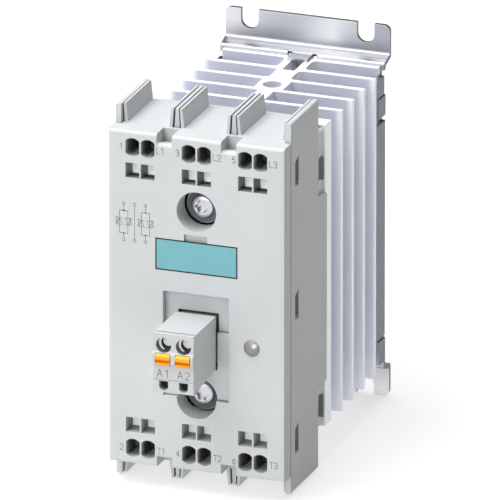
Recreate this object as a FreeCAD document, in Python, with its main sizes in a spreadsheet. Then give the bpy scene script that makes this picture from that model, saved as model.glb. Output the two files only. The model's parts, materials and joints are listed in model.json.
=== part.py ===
"""Three-pole solid-state relay with heat sink, plug-in control terminal and mounting plate.

Row frame, in millimetres: +X to the right seen from the front, -Y out of the front face, +Z up.
The origin is the centre of the rear mounting plane, at mid height.
"""

import FreeCAD, Part
import math
import os
import re
import Sketcher

# ---------------------------------------------------------------- driving sizes

SIZES = [
    ("width", 45.0, "housing, across X"),
    ("face_y", -80.0, "front face of the cover"),
    ("seam_y", -75.15, "seam between the cover and the base housing"),
    ("seam_gap", 0.15, "half of the open seam"),
    ("skin", 1.6, "front wall of the cover"),
    ("wall", 1.4, "side walls of the base housing"),
    ("cover_z", 42.75, "half height of the cover"),
    ("cover_edge", 0.9, "rounded upper and lower edges of the cover"),
    ("bevel_wide", 0.9, "shallow bevels on the cover's left and right edges, across X"),
    ("bevel_deep", 0.17, "depth of those bevels"),
    ("deck", 1.5, "thickness of the cover's top and bottom decks"),
    ("deck_x", 20.9, "half width of the decks, inside the side walls"),
    ("deck_rear_y", -56.2, "rear end of the decks"),
    ("pole_pitch", 14.45, "from one pole to the next"),
    ("entry_x", 1.97, "conductor holes, each side of the pole's centre"),
    ("entry_z", 38.65, "height of the conductor holes"),
    ("entry_bore", 2.33, "radius of a conductor hole before its sides are cut flat"),
    ("entry_flat", 1.76, "half width of a conductor hole"),
    ("release_z", 32.7, "height of the release openings"),
    ("release_wide", 3.55, "release opening across X"),
    ("release_high", 3.8, "release opening along Z"),
    ("release_deep", 5.1, "depth of a release opening"),
    ("lever_y", 4.6, "release levers, behind the face"),
    ("lever_thick", 0.4, "release lever thickness"),
    ("lever_gap", 0.12, "clearance round a release lever"),
    ("release_sill", 1.9, "solid floor at the mouth of an upper release opening"),
    ("block_deep", 6.6, "depth of the moulded terminal blocks"),
    ("block_wide", 9.2, "terminal block across X"),
    ("block_low", 28.4, "inner end of the terminal blocks along Z"),
    ("notch_x", 8.25, "marker notches in the cover's edges"),
    ("notch_wide", 3.95, "marker notch across X"),
    ("notch_high", 2.4, "marker notch along Z"),
    ("notch_deep", 5.2, "marker notch along Y"),
    ("notch_well", 1.0, "well behind a marker notch's front lip, along Z"),
    ("barrier_z", 47.5, "half height over the barriers"),
    ("barrier_y", -73.7, "front end of the barriers between the poles"),
    ("barrier_x", 7.3, "barriers between the poles"),
    ("barrier_root", 1.4, "barrier thickness at its root"),
    ("barrier_tip", 0.8, "barrier thickness at its tip"),
    ("barrier_gap", 0.4, "gap between a barrier and the cover's flange"),
    ("flange_root", 0.9, "flange thickness at its root"),
    ("flange_tip", 0.6, "flange thickness at its tip"),
    ("wall_rear_y", -55.7, "rear edge of the side walls at their ends"),
    ("wall_step_top", 21.5, "upper end of the side walls' deep middle part"),
    ("wall_step_low", 26.4, "lower end of the side walls' deep middle part, below zero"),
    ("step_rise", 1.0, "slope of the step in the side walls' rear edge"),
    ("frame_x", 21.5, "half width of the base's rear frame"),
    ("frame_neck_x", 19.8, "half width of the rear frame at its ends"),
    ("frame_neck_z", 37.9, "where the rear frame narrows"),
    ("frame_z", 40.5, "half height of the base's rear frame"),
    ("frame_y", -59.5, "front edge of the base's rear frame"),
    ("frame_wall", 1.6, "wall of the rear frame"),
    ("floor_y", -52.0, "front of the base's floor"),
    ("window_y", -72.1, "front edge of the side latch windows"),
    ("window_deep", 2.7, "side latch window along Y"),
    ("window_high", 7.5, "side latch window along Z"),
    ("window_z", 34.3, "upper and lower latch windows"),
    ("catch_front", -55.0, "front edge of the rear catch windows"),
    ("catch_top", 28.35, "upper catch windows, height of the centre"),
    ("catch_low", -32.65, "lower catch windows, height of the centre"),
    ("catch_high", 5.6, "catch window along Z"),
    ("screw_z", 24.0, "housing screws above and below the centre"),
    ("well_bore", 5.08, "radius of the screw wells"),
    ("well_rim", 6.1, "outer radius of the screw wells"),
    ("well_end_y", -74.3, "rear end of the screw wells"),
    ("post_top_y", -74.1, "top of the screw posts"),
    ("post_radius", 4.6, "screw post"),
    ("post_foot", 5.4, "thicker foot of the screw post, under the board"),
    ("post_bore", 1.7, "clearance hole for the housing screw"),
    ("screw_shank", 1.5, "radius of the housing screw's shank"),
    ("screw_head", 2.95, "radius of the housing screw's head"),
    ("screw_head_high", 1.9, "height of the housing screw's head"),
    ("drive_core", 1.42, "six-lobe drive, radius between the lobes"),
    ("drive_lobe", 0.45, "six-lobe drive, radius of a lobe"),
    ("drive_deep", 1.1, "six-lobe drive, depth"),
    ("screw_end_y", -42.5, "end of the housing screw"),
    ("collar_outer", 4.1, "outer radius of the collar round the screw head"),
    ("collar_high", 0.9, "height of the collar"),
    ("recess_left", -8.6, "left edge of the control recess"),
    ("recess_right", 8.3, "right edge of the control recess"),
    ("recess_top", 2.9, "upper edge of the control recess"),
    ("recess_split", -6.5, "where the separate lower panel begins"),
    ("recess_low", -24.0, "lower edge of the control recess"),
    ("recess_deep", 2.0, "depth of the upper part of the recess"),
    ("recess_back", 3.4, "rear of the recess's backing, behind the face"),
    ("panel_deep", 1.0, "terminal panel behind the face"),
    ("panel_thick", 1.6, "terminal panel thickness"),
    ("panel_gap", 0.15, "gap round the terminal panel"),
    ("label_wide", 20.45, "label plate across X"),
    ("label_high", 7.5, "label plate along Z"),
    ("label_z", 12.24, "height of the label plate's centre"),
    ("label_thick", 0.8, "label plate thickness"),
    ("label_gap", 0.25, "gap round the label plate"),
    ("light_x", 14.2, "status light"),
    ("light_z", -9.2, "height of the status light"),
    ("light_radius", 2.0, "status light dome"),
    ("light_proud", 1.0, "status light dome in front of the face"),
    ("plug_x", -0.42, "centre of the control plug"),
    ("plug_wide", 10.34, "control plug across X"),
    ("plug_front_y", -94.9, "front of the control plug"),
    ("plug_step_y", -79.2, "where the plug narrows to enter the socket"),
    ("plug_rear_y", -72.6, "rear end of the plug"),
    ("plug_top", -2.35, "top of the plug"),
    ("plug_low_front", -17.35, "bottom of the plug at its front"),
    ("plug_low_rear", -15.9, "bottom of the plug at the panel"),
    ("plug_pitch", 5.08, "from one plug pole to the other"),
    ("wire_z", -5.3, "height of the plug's wire holes"),
    ("wire_radius", 1.95, "plug wire hole"),
    ("wire_mouth", 2.7, "depth of the wide mouth of a plug wire hole"),
    ("wire_throat", 1.5, "radius of a plug wire hole behind its mouth"),
    ("wire_deep", 6.3, "depth of a plug wire hole"),
    ("button_z", -8.8, "height of the release buttons"),
    ("button_wide", 3.7, "release button across X"),
    ("button_high", 2.8, "release button along Z"),
    ("button_proud", 1.0, "release button in front of the plug"),
    ("button_long", 5.2, "release button along Y"),
    ("button_travel", 0.9, "travel of a release button"),
    ("button_gap", 0.12, "clearance round a release button"),
    ("cheek_proud", 0.7, "guiding cheeks beside the buttons, in front of the plug"),
    ("probe_z", -15.7, "height of the plug's test openings"),
    ("probe_wide", 2.3, "plug test opening across X"),
    ("probe_high", 2.4, "plug test opening along Z"),
    ("line_z", -14.15, "fine line across the plug's front"),
    ("contact_z", -12.4, "height of the plug's contacts"),
    ("contact_side", 2.2, "plug contact, side of its square"),
    ("pin_side", 1.0, "control pin, side of its square"),
    ("socket_gap", 0.15, "clearance between the plug and its socket"),
    ("socket_wall", 0.85, "wall of the control socket"),
    ("socket_front_y", -75.8, "front of the control socket"),
    ("socket_floor_y", -70.0, "floor of the control socket"),
    ("board_front_y", -67.2, "front of the control board"),
    ("board_thick", 1.6, "control board thickness"),
    ("board_x", 19.0, "half width of the control board"),
    ("board_z", 27.4, "half height of the control board"),
    ("sink_y", -49.6, "front of the heat sink"),
    ("sink_base", 4.3, "heat sink base plate"),
    ("sink_base_x", 22.05, "half width of the heat sink base plate"),
    ("sink_z", 38.75, "half length of the heat sink"),
    ("fin", 1.4, "fin thickness"),
    ("fin_pitch", 8.0, "from one fin to the next"),
    ("fin_x", 22.2, "half width of the long fins"),
    ("short_fin_x", 20.15, "half width of the last fin"),
    ("short_fin_y", -5.1, "rear face of the last fin"),
    ("web_thin", 1.95, "half width of the web near the base plate"),
    ("web_channel", 3.7, "half width of the web round the screw channel"),
    ("web_round", 2.7, "half width of the web behind the screw channel"),
    ("web_slot", 3.5, "half width of the web round the rear slot"),
    ("channel_radius", 2.45, "screw channel through the web"),
    ("slot_half", 1.6, "half width of the rear slot"),
    ("pocket_round", 1.3, "rounded ends of the rear pockets"),
    ("sheet", 1.0, "mounting plate sheet"),
    ("plate_x", 21.25, "half width of the mounting plate"),
    ("plate_z", 48.0, "half height of the mounting plate"),
    ("plate_step_y", -5.0, "front of the plate's middle sheet"),
    ("bend_outer_z", 40.6, "where the flange meets the bend"),
    ("bend_inner_z", 39.6, "where the bend meets the middle sheet"),
    ("flat_corner", 1.6, "rounded corners of the flanges"),
    ("hole_x", 15.0, "open screw slots, each side of the centre"),
    ("hole_radius", 2.25, "half width of an open screw slot"),
    ("hole_z", 45.25, "centre of the round end of a screw slot"),
    ("middle_x", 20.35, "half width of the plate's middle sheet"),
    ("middle_z", 37.8, "half height of the narrow middle sheet"),
    ("tab_y", -10.0, "front edge of the long side flanges"),
    ("small_tab_y", -8.4, "front edge of the short side tabs"),
    ("tongue_half", 2.6, "half width of the tongue over the web"),
    ("tongue_y", -8.6, "front end of the tongue"),
    ("hook_x", 12.0, "rail hooks, each side of the centre"),
    ("hook_wide", 6.0, "rail hook across X"),
    ("rail_half", 17.5, "half height of a 35 mm rail"),
    ("rail_lip", 1.0, "thickness of the rail's lip"),
    ("hook_grip", 2.0, "how far a hook reaches behind the rail's lip"),
    ("rail_play", 0.2, "play between the rail and the hooks"),
    ("latch_wide", 16.0, "rail latch across X"),
    ("latch_tail_wide", 7.2, "tail of the rail latch across X"),
    ("latch_thick", 1.6, "rail latch thickness"),
    ("latch_travel", 3.0, "travel of the rail latch"),
    ("guide_top", -33.3, "top of the latch guide"),
    ("guide_high", 3.6, "latch guide along Z"),
    ("peg_z", -30.9, "centre of the spring's peg"),
    ("spring_top", -20.6, "upper end of the latch spring"),
    ("spring_radius", 1.15, "latch spring, to the wire's centre"),
    ("spring_wire", 0.2, "radius of the latch spring's wire"),
    ("plate_screw_top", 30.0, "upper plate screw"),
    ("plate_screw_low", -6.0, "lower plate screw"),
    ("copper", 0.8, "thickness of the current bars"),
    ("bar_wide", 5.0, "current bar across X"),
    ("bar_floor_y", -52.5, "rear face of the bars over the base's floor"),
    ("leaf", 0.4, "clamp spring strip"),
    ("leaf_wide", 3.0, "clamp spring across X"),
    ("leaf_z", 32.6, "inner edge of a clamp spring along Z"),
    ("leaf_y", -72.4, "front edge of a clamp spring"),
    ("substrate_x", 17.5, "half width of the power substrate"),
    ("substrate_z", 18.2, "half height of the power substrate"),
    ("substrate_thick", 1.0, "power substrate thickness"),
    ("paste", 0.25, "thermal pad thickness"),
]

POLES = {"1": "-pole_pitch", "2": "0", "3": "pole_pitch"}
ENDS = {"top": "", "bottom": "-"}
PLANES = {"X": "YZ_Plane", "Y": "XZ_Plane", "Z": "XY_Plane"}

doc = FreeCAD.newDocument("solid_state_relay")
dims = doc.addObject("Spreadsheet::Sheet", "dims")
nodes = []


def fill_sheet():
    """Write every driving size into the spreadsheet, with its alias."""
    for row, (alias, size, note) in enumerate(SIZES, start=1):
        dims.set(f"A{row}", note)
        dims.set(f"B{row}", str(size))
        dims.setAlias(f"B{row}", alias)
    doc.recompute()


# ---------------------------------------------------------------- expressions


def on_sheet(text):
    """Point every size name in an expression at the spreadsheet."""
    return re.sub(r"(?<![\w.])([a-z]\w*)", r"dims.\1", text)


def bind(item, prop, text):
    """Bind a property to an expression of the driving sizes."""
    item.setExpression(prop, on_sheet(text))


def value(text):
    """Number that an expression of the driving sizes has now."""
    return float(dims.evalExpression(on_sheet(text)))


def minus(text):
    """Expression of the opposite sign."""
    return f"-({text})"


# ---------------------------------------------------------------- outlines


def polygon(*points):
    """Closed outline through the given points."""
    return ("polygon", points)


def rect(low_a, high_a, low_b, high_b):
    """Rectangle between two limits along each of the plane's axes."""
    return polygon((low_a, low_b), (high_a, low_b), (high_a, high_b), (low_a, high_b))


def centred(a, b, wide, high):
    """Rectangle about a centre."""
    return rect(f"{a} - {wide}/2", f"{a} + {wide}/2", f"{b} - {high}/2", f"{b} + {high}/2")


def circle(a, b, radius):
    """Circle about a centre."""
    return ("circle", (a, b, radius))


def flat_sided(a, b, radius, half):
    """Circle whose left and right sides are cut flat."""
    return ("flat_sided", (a, b, radius, half))


def both_sides(outline):
    """The outline and its mirror image in the first axis (left and right)."""
    return [outline, flipped(outline, 0)]


def both_ends(outline):
    """The outline and its mirror image in the second axis (top and bottom)."""
    return [outline, flipped(outline, 1)]


def flipped(outline, axis):
    """Mirror image of an outline, 0 across the first axis and 1 across the second."""
    kind, data = outline
    if kind == "polygon":
        return (kind, tuple(tuple(minus(c) if i == axis else c for i, c in enumerate(p)) for p in data))
    return (kind, tuple(minus(c) if i == axis else c for i, c in enumerate(data)))


def place_point(rules, geometry, end, a, b):
    """Hold one end of a sketch line at the point (a, b)."""
    for kind, text in (("DistanceX", a), ("DistanceY", b)):
        rules.append((Sketcher.Constraint(kind, -1, 1, geometry, end, value(text)), text))


def draw_polygon(sketch, points):
    """Draw a closed polygon, each corner bound to its expressions."""
    first = sketch.GeometryCount
    corners = [FreeCAD.Vector(value(a), value(b), 0) for a, b in points]
    count = len(corners)
    lines = [Part.LineSegment(corners[i], corners[(i + 1) % count]) for i in range(count)]
    sketch.addGeometry(lines, False)
    rules = []
    for i, (a, b) in enumerate(points):
        joined = Sketcher.Constraint("Coincident", first + i, 2, first + (i + 1) % count, 1)
        rules.append((joined, None))
        place_point(rules, first + i, 1, a, b)
    apply_rules(sketch, rules)


def draw_circle(sketch, a, b, radius):
    """Draw a circle bound to its expressions."""
    first = sketch.GeometryCount
    middle = FreeCAD.Vector(value(a), value(b), 0)
    sketch.addGeometry(Part.Circle(middle, FreeCAD.Vector(0, 0, 1), value(radius)), False)
    rules = []
    place_point(rules, first, 3, a, b)
    rules.append((Sketcher.Constraint("Radius", first, value(radius)), radius))
    apply_rules(sketch, rules)


def draw_flat_sided(sketch, a, b, radius, half):
    """Draw a circle with flat left and right sides: two arcs and two lines."""
    first = sketch.GeometryCount
    rise_now = (value(radius) ** 2 - value(half) ** 2) ** 0.5
    middle = FreeCAD.Vector(value(a), value(b), 0)
    across = FreeCAD.Vector(value(half), 0, 0)
    upward = FreeCAD.Vector(0, rise_now, 0)
    top = FreeCAD.Vector(0, value(radius), 0)
    right_up, left_up = middle + across + upward, middle - across + upward
    left_low, right_low = middle - across - upward, middle + across - upward
    sketch.addGeometry(
        [
            Part.Arc(right_up, middle + top, left_up),
            Part.LineSegment(left_up, left_low),
            Part.Arc(left_low, middle - top, right_low),
            Part.LineSegment(right_low, right_up),
        ],
        False,
    )
    rules = []
    for arc in (first, first + 2):
        place_point(rules, arc, 3, a, b)
        rules.append((Sketcher.Constraint("Radius", arc, value(radius)), radius))
    for i, (side, up) in enumerate((("+", "+"), ("-", "+"), ("-", "-"), ("+", "-"))):
        corner_a = f"({a}) {side} ({half})"
        ends = ((first, 1), (first, 2), (first + 2, 1), (first + 2, 2))[i]
        rules.append(
            (Sketcher.Constraint("DistanceX", -1, 1, ends[0], ends[1], value(corner_a)), corner_a)
        )
    for line_end, arc_end in (((1, 1), (0, 2)), ((1, 2), (2, 1)), ((3, 1), (2, 2)), ((3, 2), (0, 1))):
        joined = Sketcher.Constraint(
            "Coincident", first + line_end[0], line_end[1], first + arc_end[0], arc_end[1]
        )
        rules.append((joined, None))
    apply_rules(sketch, rules)


def apply_rules(sketch, rules):
    """Add constraints and bind those that carry an expression."""
    start = sketch.ConstraintCount
    sketch.addConstraint([rule for rule, _ in rules])
    for i, (_, text) in enumerate(rules):
        if text is not None:
            bind(sketch, f"Constraints[{start + i}]", text)


DRAW = {
    "polygon": lambda sketch, data: draw_polygon(sketch, data),
    "circle": lambda sketch, data: draw_circle(sketch, *data),
    "flat_sided": lambda sketch, data: draw_flat_sided(sketch, *data),
}


# ---------------------------------------------------------------- bodies and features


def new_body(label):
    """New PartDesign body."""
    body = doc.addObject("PartDesign::Body", label)
    body.Label = label
    return body


def origin_feature(body, role):
    """Plane or axis of the body's own origin."""
    return next(f for f in body.Origin.OriginFeatures if f.Role == role)


def new_sketch(body, axis, outlines, level="0"):
    """Sketch across an axis, at a level along that axis, with the given outlines.

    In-plane coordinates are (Y, Z) across X, (X, Z) across Y and (X, Y) across Z.
    """
    sketch = body.newObject("Sketcher::SketchObject", f"{body.Name}_sketch")
    sketch.AttachmentSupport = [(origin_feature(body, PLANES[axis]), "")]
    sketch.MapMode = "FlatFace"
    bind(sketch, "AttachmentOffset.Base.z", minus(level) if axis == "Y" else level)
    for kind, data in outlines:
        DRAW[kind](sketch, data)
    return sketch


def add(body, axis, outlines, start, end):
    """Pad the outlines from start to end along an axis."""
    sketch = new_sketch(body, axis, outlines, start)
    pad = body.newObject("PartDesign::Pad", f"{body.Name}_pad")
    pad.Profile = sketch
    pad.Reversed = axis == "Y"
    bind(pad, "Length", f"({end}) - ({start})")
    doc.recompute()
    return pad


def cut(body, axis, outlines, start, end):
    """Pocket the outlines from start to end along an axis, and check that material went."""
    before = body.Shape.Volume
    sketch = new_sketch(body, axis, outlines, start)
    pocket = body.newObject("PartDesign::Pocket", f"{body.Name}_pocket")
    pocket.Profile = sketch
    pocket.Reversed = axis != "Y"
    bind(pocket, "Length", f"({end}) - ({start})")
    doc.recompute()
    if body.Shape.Volume > before - 1e-6:
        raise RuntimeError(f"a pocket in {body.Label} cuts nothing")
    return pocket


def dress(body, kind, wanted, radius):
    """Fillet or chamfer the edges that wanted(edge) picks."""
    tip = body.Tip
    picked = [f"Edge{i}" for i, edge in enumerate(tip.Shape.Edges, start=1) if wanted(edge)]
    if not picked:
        raise RuntimeError(f"no edge to dress in {body.Label}")
    feature = body.newObject(f"PartDesign::{kind}", f"{body.Name}_{kind.lower()}")
    feature.Base = (tip, picked)
    bind(feature, "Radius" if kind == "Fillet" else "Size", radius)
    doc.recompute()
    if "Invalid" in feature.State or "Error" in feature.State:
        raise RuntimeError(f"{kind} failed in {body.Label}")
    return feature


def along(edge, axis):
    """Whether a straight edge runs along a row axis."""
    ends = [v.Point for v in edge.Vertexes]
    if len(ends) != 2 or edge.Curve.TypeId != "Part::GeomLine":
        return False
    run = ends[1] - ends[0]
    return abs(abs(getattr(run, axis.lower())) - run.Length) < 1e-6


def middle_of(edge):
    """Centre of an edge's bounding box."""
    return edge.BoundBox.Center


def near(a, b, tolerance=0.02):
    """Whether two lengths are the same."""
    return abs(a - b) < tolerance


def keep(item, label=None):
    """Take an object as a finished sub-part, written to its own file."""
    if label:
        item.Label = label
    nodes.append(item)
    return item


def put(item, x=None, y=None, z=None):
    """Bind an object's place."""
    for axis, text in (("x", x), ("y", y), ("z", z)):
        if text is not None:
            bind(item, f"Placement.Base.{axis}", text)
    return item


def group(label, items):
    """One sub-part made of separate solids."""
    compound = doc.addObject("Part::Compound", label)
    compound.Label = label
    compound.Links = items
    return compound


def turned(label, profile):
    """Body turned about the Y axis; the profile's points are (radius, Y)."""
    body = new_body(label)
    sketch = new_sketch(body, "Z", [polygon(*profile)])
    spin = body.newObject("PartDesign::Revolution", f"{label}_turn")
    spin.Profile = sketch
    spin.ReferenceAxis = (sketch, ["V_Axis"])
    spin.Angle = 360
    doc.recompute()
    return body


# ---------------------------------------------------------------- front cover


def entry_outlines():
    """The twelve conductor holes."""
    return [
        flat_sided(f"{pole} {side} entry_x", f"{end}entry_z", "entry_bore", "entry_flat")
        for pole in POLES.values()
        for side in "-+"
        for end in ENDS.values()
    ]


def release_outlines(end):
    """The six release openings of one end."""
    return [
        centred(f"{pole} {side} entry_x", f"{end}release_z", "release_wide", "release_high")
        for pole in POLES.values()
        for side in "-+"
    ]


def sill_outlines():
    """Openings in the floors of the upper release openings."""
    floor = "release_z - release_high/2"
    return [
        rect(
            f"{pole} {side} entry_x - release_wide/2",
            f"{pole} {side} entry_x + release_wide/2",
            "block_low - 0.2",
            f"{floor} + 0.1",
        )
        for pole in POLES.values()
        for side in "-+"
    ]


def flange(inner, outer, tip_inner, tip_outer, root="cover_z - 0.5"):
    """Tapered flange section across Y, from the deck up to the barrier's tip."""
    return polygon((inner, root), (outer, root), (tip_outer, "barrier_z"), (tip_inner, "barrier_z"))


def flange_outlines():
    """Thin flanges of the cover beside every barrier, at the top end."""
    root = "barrier_x + barrier_root/2 + barrier_gap"
    tip = "barrier_x + barrier_tip/2 + barrier_gap"
    inner_root = "barrier_x - barrier_root/2 - barrier_gap"
    inner_tip = "barrier_x - barrier_tip/2 - barrier_gap"
    outside = flange(root, f"{root} + flange_root", tip, f"{tip} + flange_tip")
    inside = flange(
        f"{inner_root} - flange_root", inner_root, f"{inner_tip} - flange_tip", inner_tip
    )
    edge = "width/2 - wall - barrier_gap"
    outer = flange(f"{edge} - flange_root", edge, f"{edge} + 0.2 - flange_tip", f"{edge} + 0.2")
    return [shape for one in (outside, inside, outer) for shape in both_sides(one)]


def lug_outlines():
    """Snap lugs of the cover behind the three latch windows of a side, across X."""
    front, back = "seam_y - 0.6", "window_y + window_deep"
    heights = ("-window_z", "0", "window_z")
    return [rect(front, back, f"{z} - 2.5", f"{z} + 2.5") for z in heights]


def build_front_cover():
    """Cap with the terminal blocks, screw wells, control recess and barrier flanges."""
    cover = new_body("front_cover")
    add(cover, "Y", [rect("-width/2", "width/2", "-cover_z", "cover_z")], "face_y", "seam_y - seam_gap")
    face = value("face_y")
    dress(cover, "Fillet", lambda e: along(e, "X") and near(middle_of(e).y, face), "cover_edge")
    bevel = polygon(
        ("width/2 - bevel_wide", "face_y"),
        ("width/2 - bevel_wide", "face_y - 1"),
        ("width/2 + 1", "face_y - 1"),
        ("width/2 + 1", "face_y + bevel_deep*(bevel_wide + 1)/bevel_wide"),
    )
    cut(cover, "Z", both_sides(bevel), "-cover_z - 1", "cover_z + 1")
    decks = both_ends(rect("-deck_x", "deck_x", "cover_z - deck", "cover_z"))
    add(cover, "Y", decks, "seam_y - 1.5", "deck_rear_y")
    inside = rect("-deck_x", "deck_x", "-(cover_z - deck)", "cover_z - deck")
    cut(cover, "Y", [inside], "face_y + skin", "deck_rear_y + 1")
    blocks = [
        shape
        for pole in POLES.values()
        for shape in both_ends(
            rect(f"{pole} - block_wide/2", f"{pole} + block_wide/2", "block_low", "cover_z - 0.5")
        )
    ]
    add(cover, "Y", blocks, "face_y + skin - 0.2", "face_y + block_deep")
    sill = "cover_z - notch_high - deck"
    notch_floor = rect("notch_x - notch_wide/2 - 1", "notch_x + notch_wide/2 + 1", sill, "cover_z - 0.5")
    notch_blocks = [shape for one in both_sides(notch_floor) for shape in both_ends(one)]
    add(cover, "Y", notch_blocks, "face_y + skin - 0.2", "barrier_y - 0.3")
    add(cover, "Y", both_ends(circle("0", "screw_z", "well_rim")), "face_y + skin - 0.2", "well_end_y")
    backing = rect("recess_left - 1.2", "recess_right + 1.2", "recess_split - 1.2", "recess_top + 1.2")
    add(cover, "Y", [backing], "face_y + skin - 0.2", "face_y + recess_back")
    upper_flanges = flange_outlines()
    lower_flanges = [flipped(outline, 1) for outline in upper_flanges]
    add(cover, "Y", upper_flanges + lower_flanges, "barrier_y", "deck_rear_y")
    for side in ("-deck_x", "deck_x - 0.7"):
        add(cover, "X", lug_outlines(), side, f"{side} + 0.7")

    cut(cover, "Y", entry_outlines(), "face_y - 1", "face_y + block_deep + 1")
    for end in ENDS.values():
        cut(cover, "Y", release_outlines(end), "face_y - 1", "face_y + release_deep")
    cut(cover, "Y", sill_outlines(), "face_y + release_sill", "face_y + lever_y")
    notch = rect("notch_x - notch_wide/2", "notch_x + notch_wide/2", "cover_z - notch_high", "cover_z + 1")
    notches = [shape for one in both_sides(notch) for shape in both_ends(one)]
    cut(cover, "Y", notches, "face_y - 1", "face_y + notch_deep")
    sill_z = value("cover_z - notch_high")
    dress(
        cover,
        "Fillet",
        lambda e: along(e, "X") and near(middle_of(e).y, face) and near(abs(middle_of(e).z), sill_z),
        "cover_edge",
    )
    well = rect(
        "notch_x - notch_wide/2",
        "notch_x + notch_wide/2",
        "cover_z - notch_high - notch_well",
        "cover_z - notch_high + 0.1",
    )
    wells = [shape for one in both_sides(well) for shape in both_ends(one)]
    cut(cover, "Y", wells, "face_y + skin", "face_y + notch_deep")
    slit = rect(
        "barrier_x - barrier_root/2 - barrier_gap",
        "barrier_x + barrier_root/2 + barrier_gap",
        "cover_z - deck - 0.2",
        "cover_z + 0.1",
    )
    slits = [shape for one in both_sides(slit) for shape in both_ends(one)]
    cut(cover, "Y", slits, "barrier_y - 0.2", "deck_rear_y + 1")
    cut(cover, "Y", both_ends(circle("0", "screw_z", "well_bore")), "face_y - 1", "well_end_y + 1")
    upper = rect("recess_left", "recess_right", "recess_split", "recess_top")
    cut(cover, "Y", [upper], "face_y - 1", "face_y + recess_deep")
    lower = rect("recess_left", "recess_right", "recess_low", "recess_split")
    panel_rear = "face_y + panel_deep + panel_thick + panel_gap"
    cut(cover, "Y", [lower], "face_y - 1", panel_rear)
    half = "plug_wide/2 + 0.3"
    mouth = rect(f"plug_x - {half}", f"plug_x + {half}", "recess_split - 1.3", "plug_top + 0.3")
    cut(cover, "Y", [mouth], "face_y", "face_y + recess_back + 1")
    light_hole = circle("light_x", "light_z", "light_radius + 0.05")
    cut(cover, "Y", [light_hole], "face_y - 1", "face_y + skin + 1")
    seat = centred("0", "label_z", "(label_wide + 2*label_gap)", "(label_high + 2*label_gap)")
    cut(cover, "Y", [seat], "face_y - 1", "face_y + label_thick")
    pry = rect("-3.2", "2.8", "label_z + label_high/2", "label_z + label_high/2 + 1.95")
    cut(cover, "Y", [pry], "face_y - 1", "face_y + 0.8")
    clip_holes = both_sides(circle("label_wide/2 - 3", "label_z", "0.9"))
    cut(cover, "Y", clip_holes, "face_y", "face_y + skin + 1")
    keep(cover)


def build_release_levers():
    """Light levers at the back of the release openings, one for each conductor hole."""
    high = "(release_high/2 - lever_gap)"
    wide = "(release_wide/2 - lever_gap)"
    for label, end in ENDS.items():
        levers = [
            block(
                f"release_lever_{label}_{i}",
                (f"{x} - {wide}", f"{x} + {wide}"),
                ("face_y + lever_y", "face_y + lever_y + lever_thick"),
                (f"{end}release_z - {high}", f"{end}release_z + {high}"),
            )
            for i, x in enumerate(f"{pole} {side} entry_x" for pole in POLES.values() for side in "-+")
        ]
        keep(group(f"release_levers_{label}", levers))


# ---------------------------------------------------------------- base housing


def side_wall_outline():
    """Side wall across X: tall barrier ends in front, a deeper middle part behind."""
    return polygon(
        ("seam_y + seam_gap", "-barrier_z"),
        ("wall_rear_y", "-barrier_z"),
        ("wall_rear_y", "-(wall_step_low + step_rise)"),
        ("sink_y", "-wall_step_low"),
        ("sink_y", "wall_step_top"),
        ("wall_rear_y", "wall_step_top + step_rise"),
        ("wall_rear_y", "barrier_z"),
        ("seam_y + seam_gap", "barrier_z"),
    )


def window_outlines():
    """Latch windows across X, with slanted upper edges."""
    rear = "window_y + window_deep"
    return [
        polygon(
            ("window_y", f"{z} - window_high/2"),
            (rear, f"{z} - window_high/2"),
            (rear, f"{z} + window_high/2"),
            ("window_y", f"{z} + window_high/2 - 1.1"),
        )
        for z in ("-window_z", "0", "window_z")
    ]


def barrier_outline():
    """Tapered barrier between two poles, across Y."""
    return polygon(
        ("barrier_x - barrier_root/2", "frame_z - 1"),
        ("barrier_x + barrier_root/2", "frame_z - 1"),
        ("barrier_x + barrier_root/2", "cover_z"),
        ("barrier_x + barrier_tip/2", "barrier_z"),
        ("barrier_x - barrier_tip/2", "barrier_z"),
        ("barrier_x - barrier_root/2", "cover_z"),
    )


def frame_outline(inset):
    """Outline of the rear frame across Y, narrower at its two ends, less an inset."""
    wide, neck = f"(frame_x - {inset})", f"(frame_neck_x - {inset})"
    low, high = f"(frame_neck_z - {inset})", f"(frame_z - {inset})"
    right = [(neck, minus(high)), (neck, minus(low)), (wide, minus(low))]
    right += [(x, z[1:]) for x, z in reversed(right)]
    left = [(minus(x), z) for x, z in reversed(right)]
    return polygon(*(right + left))


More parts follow.
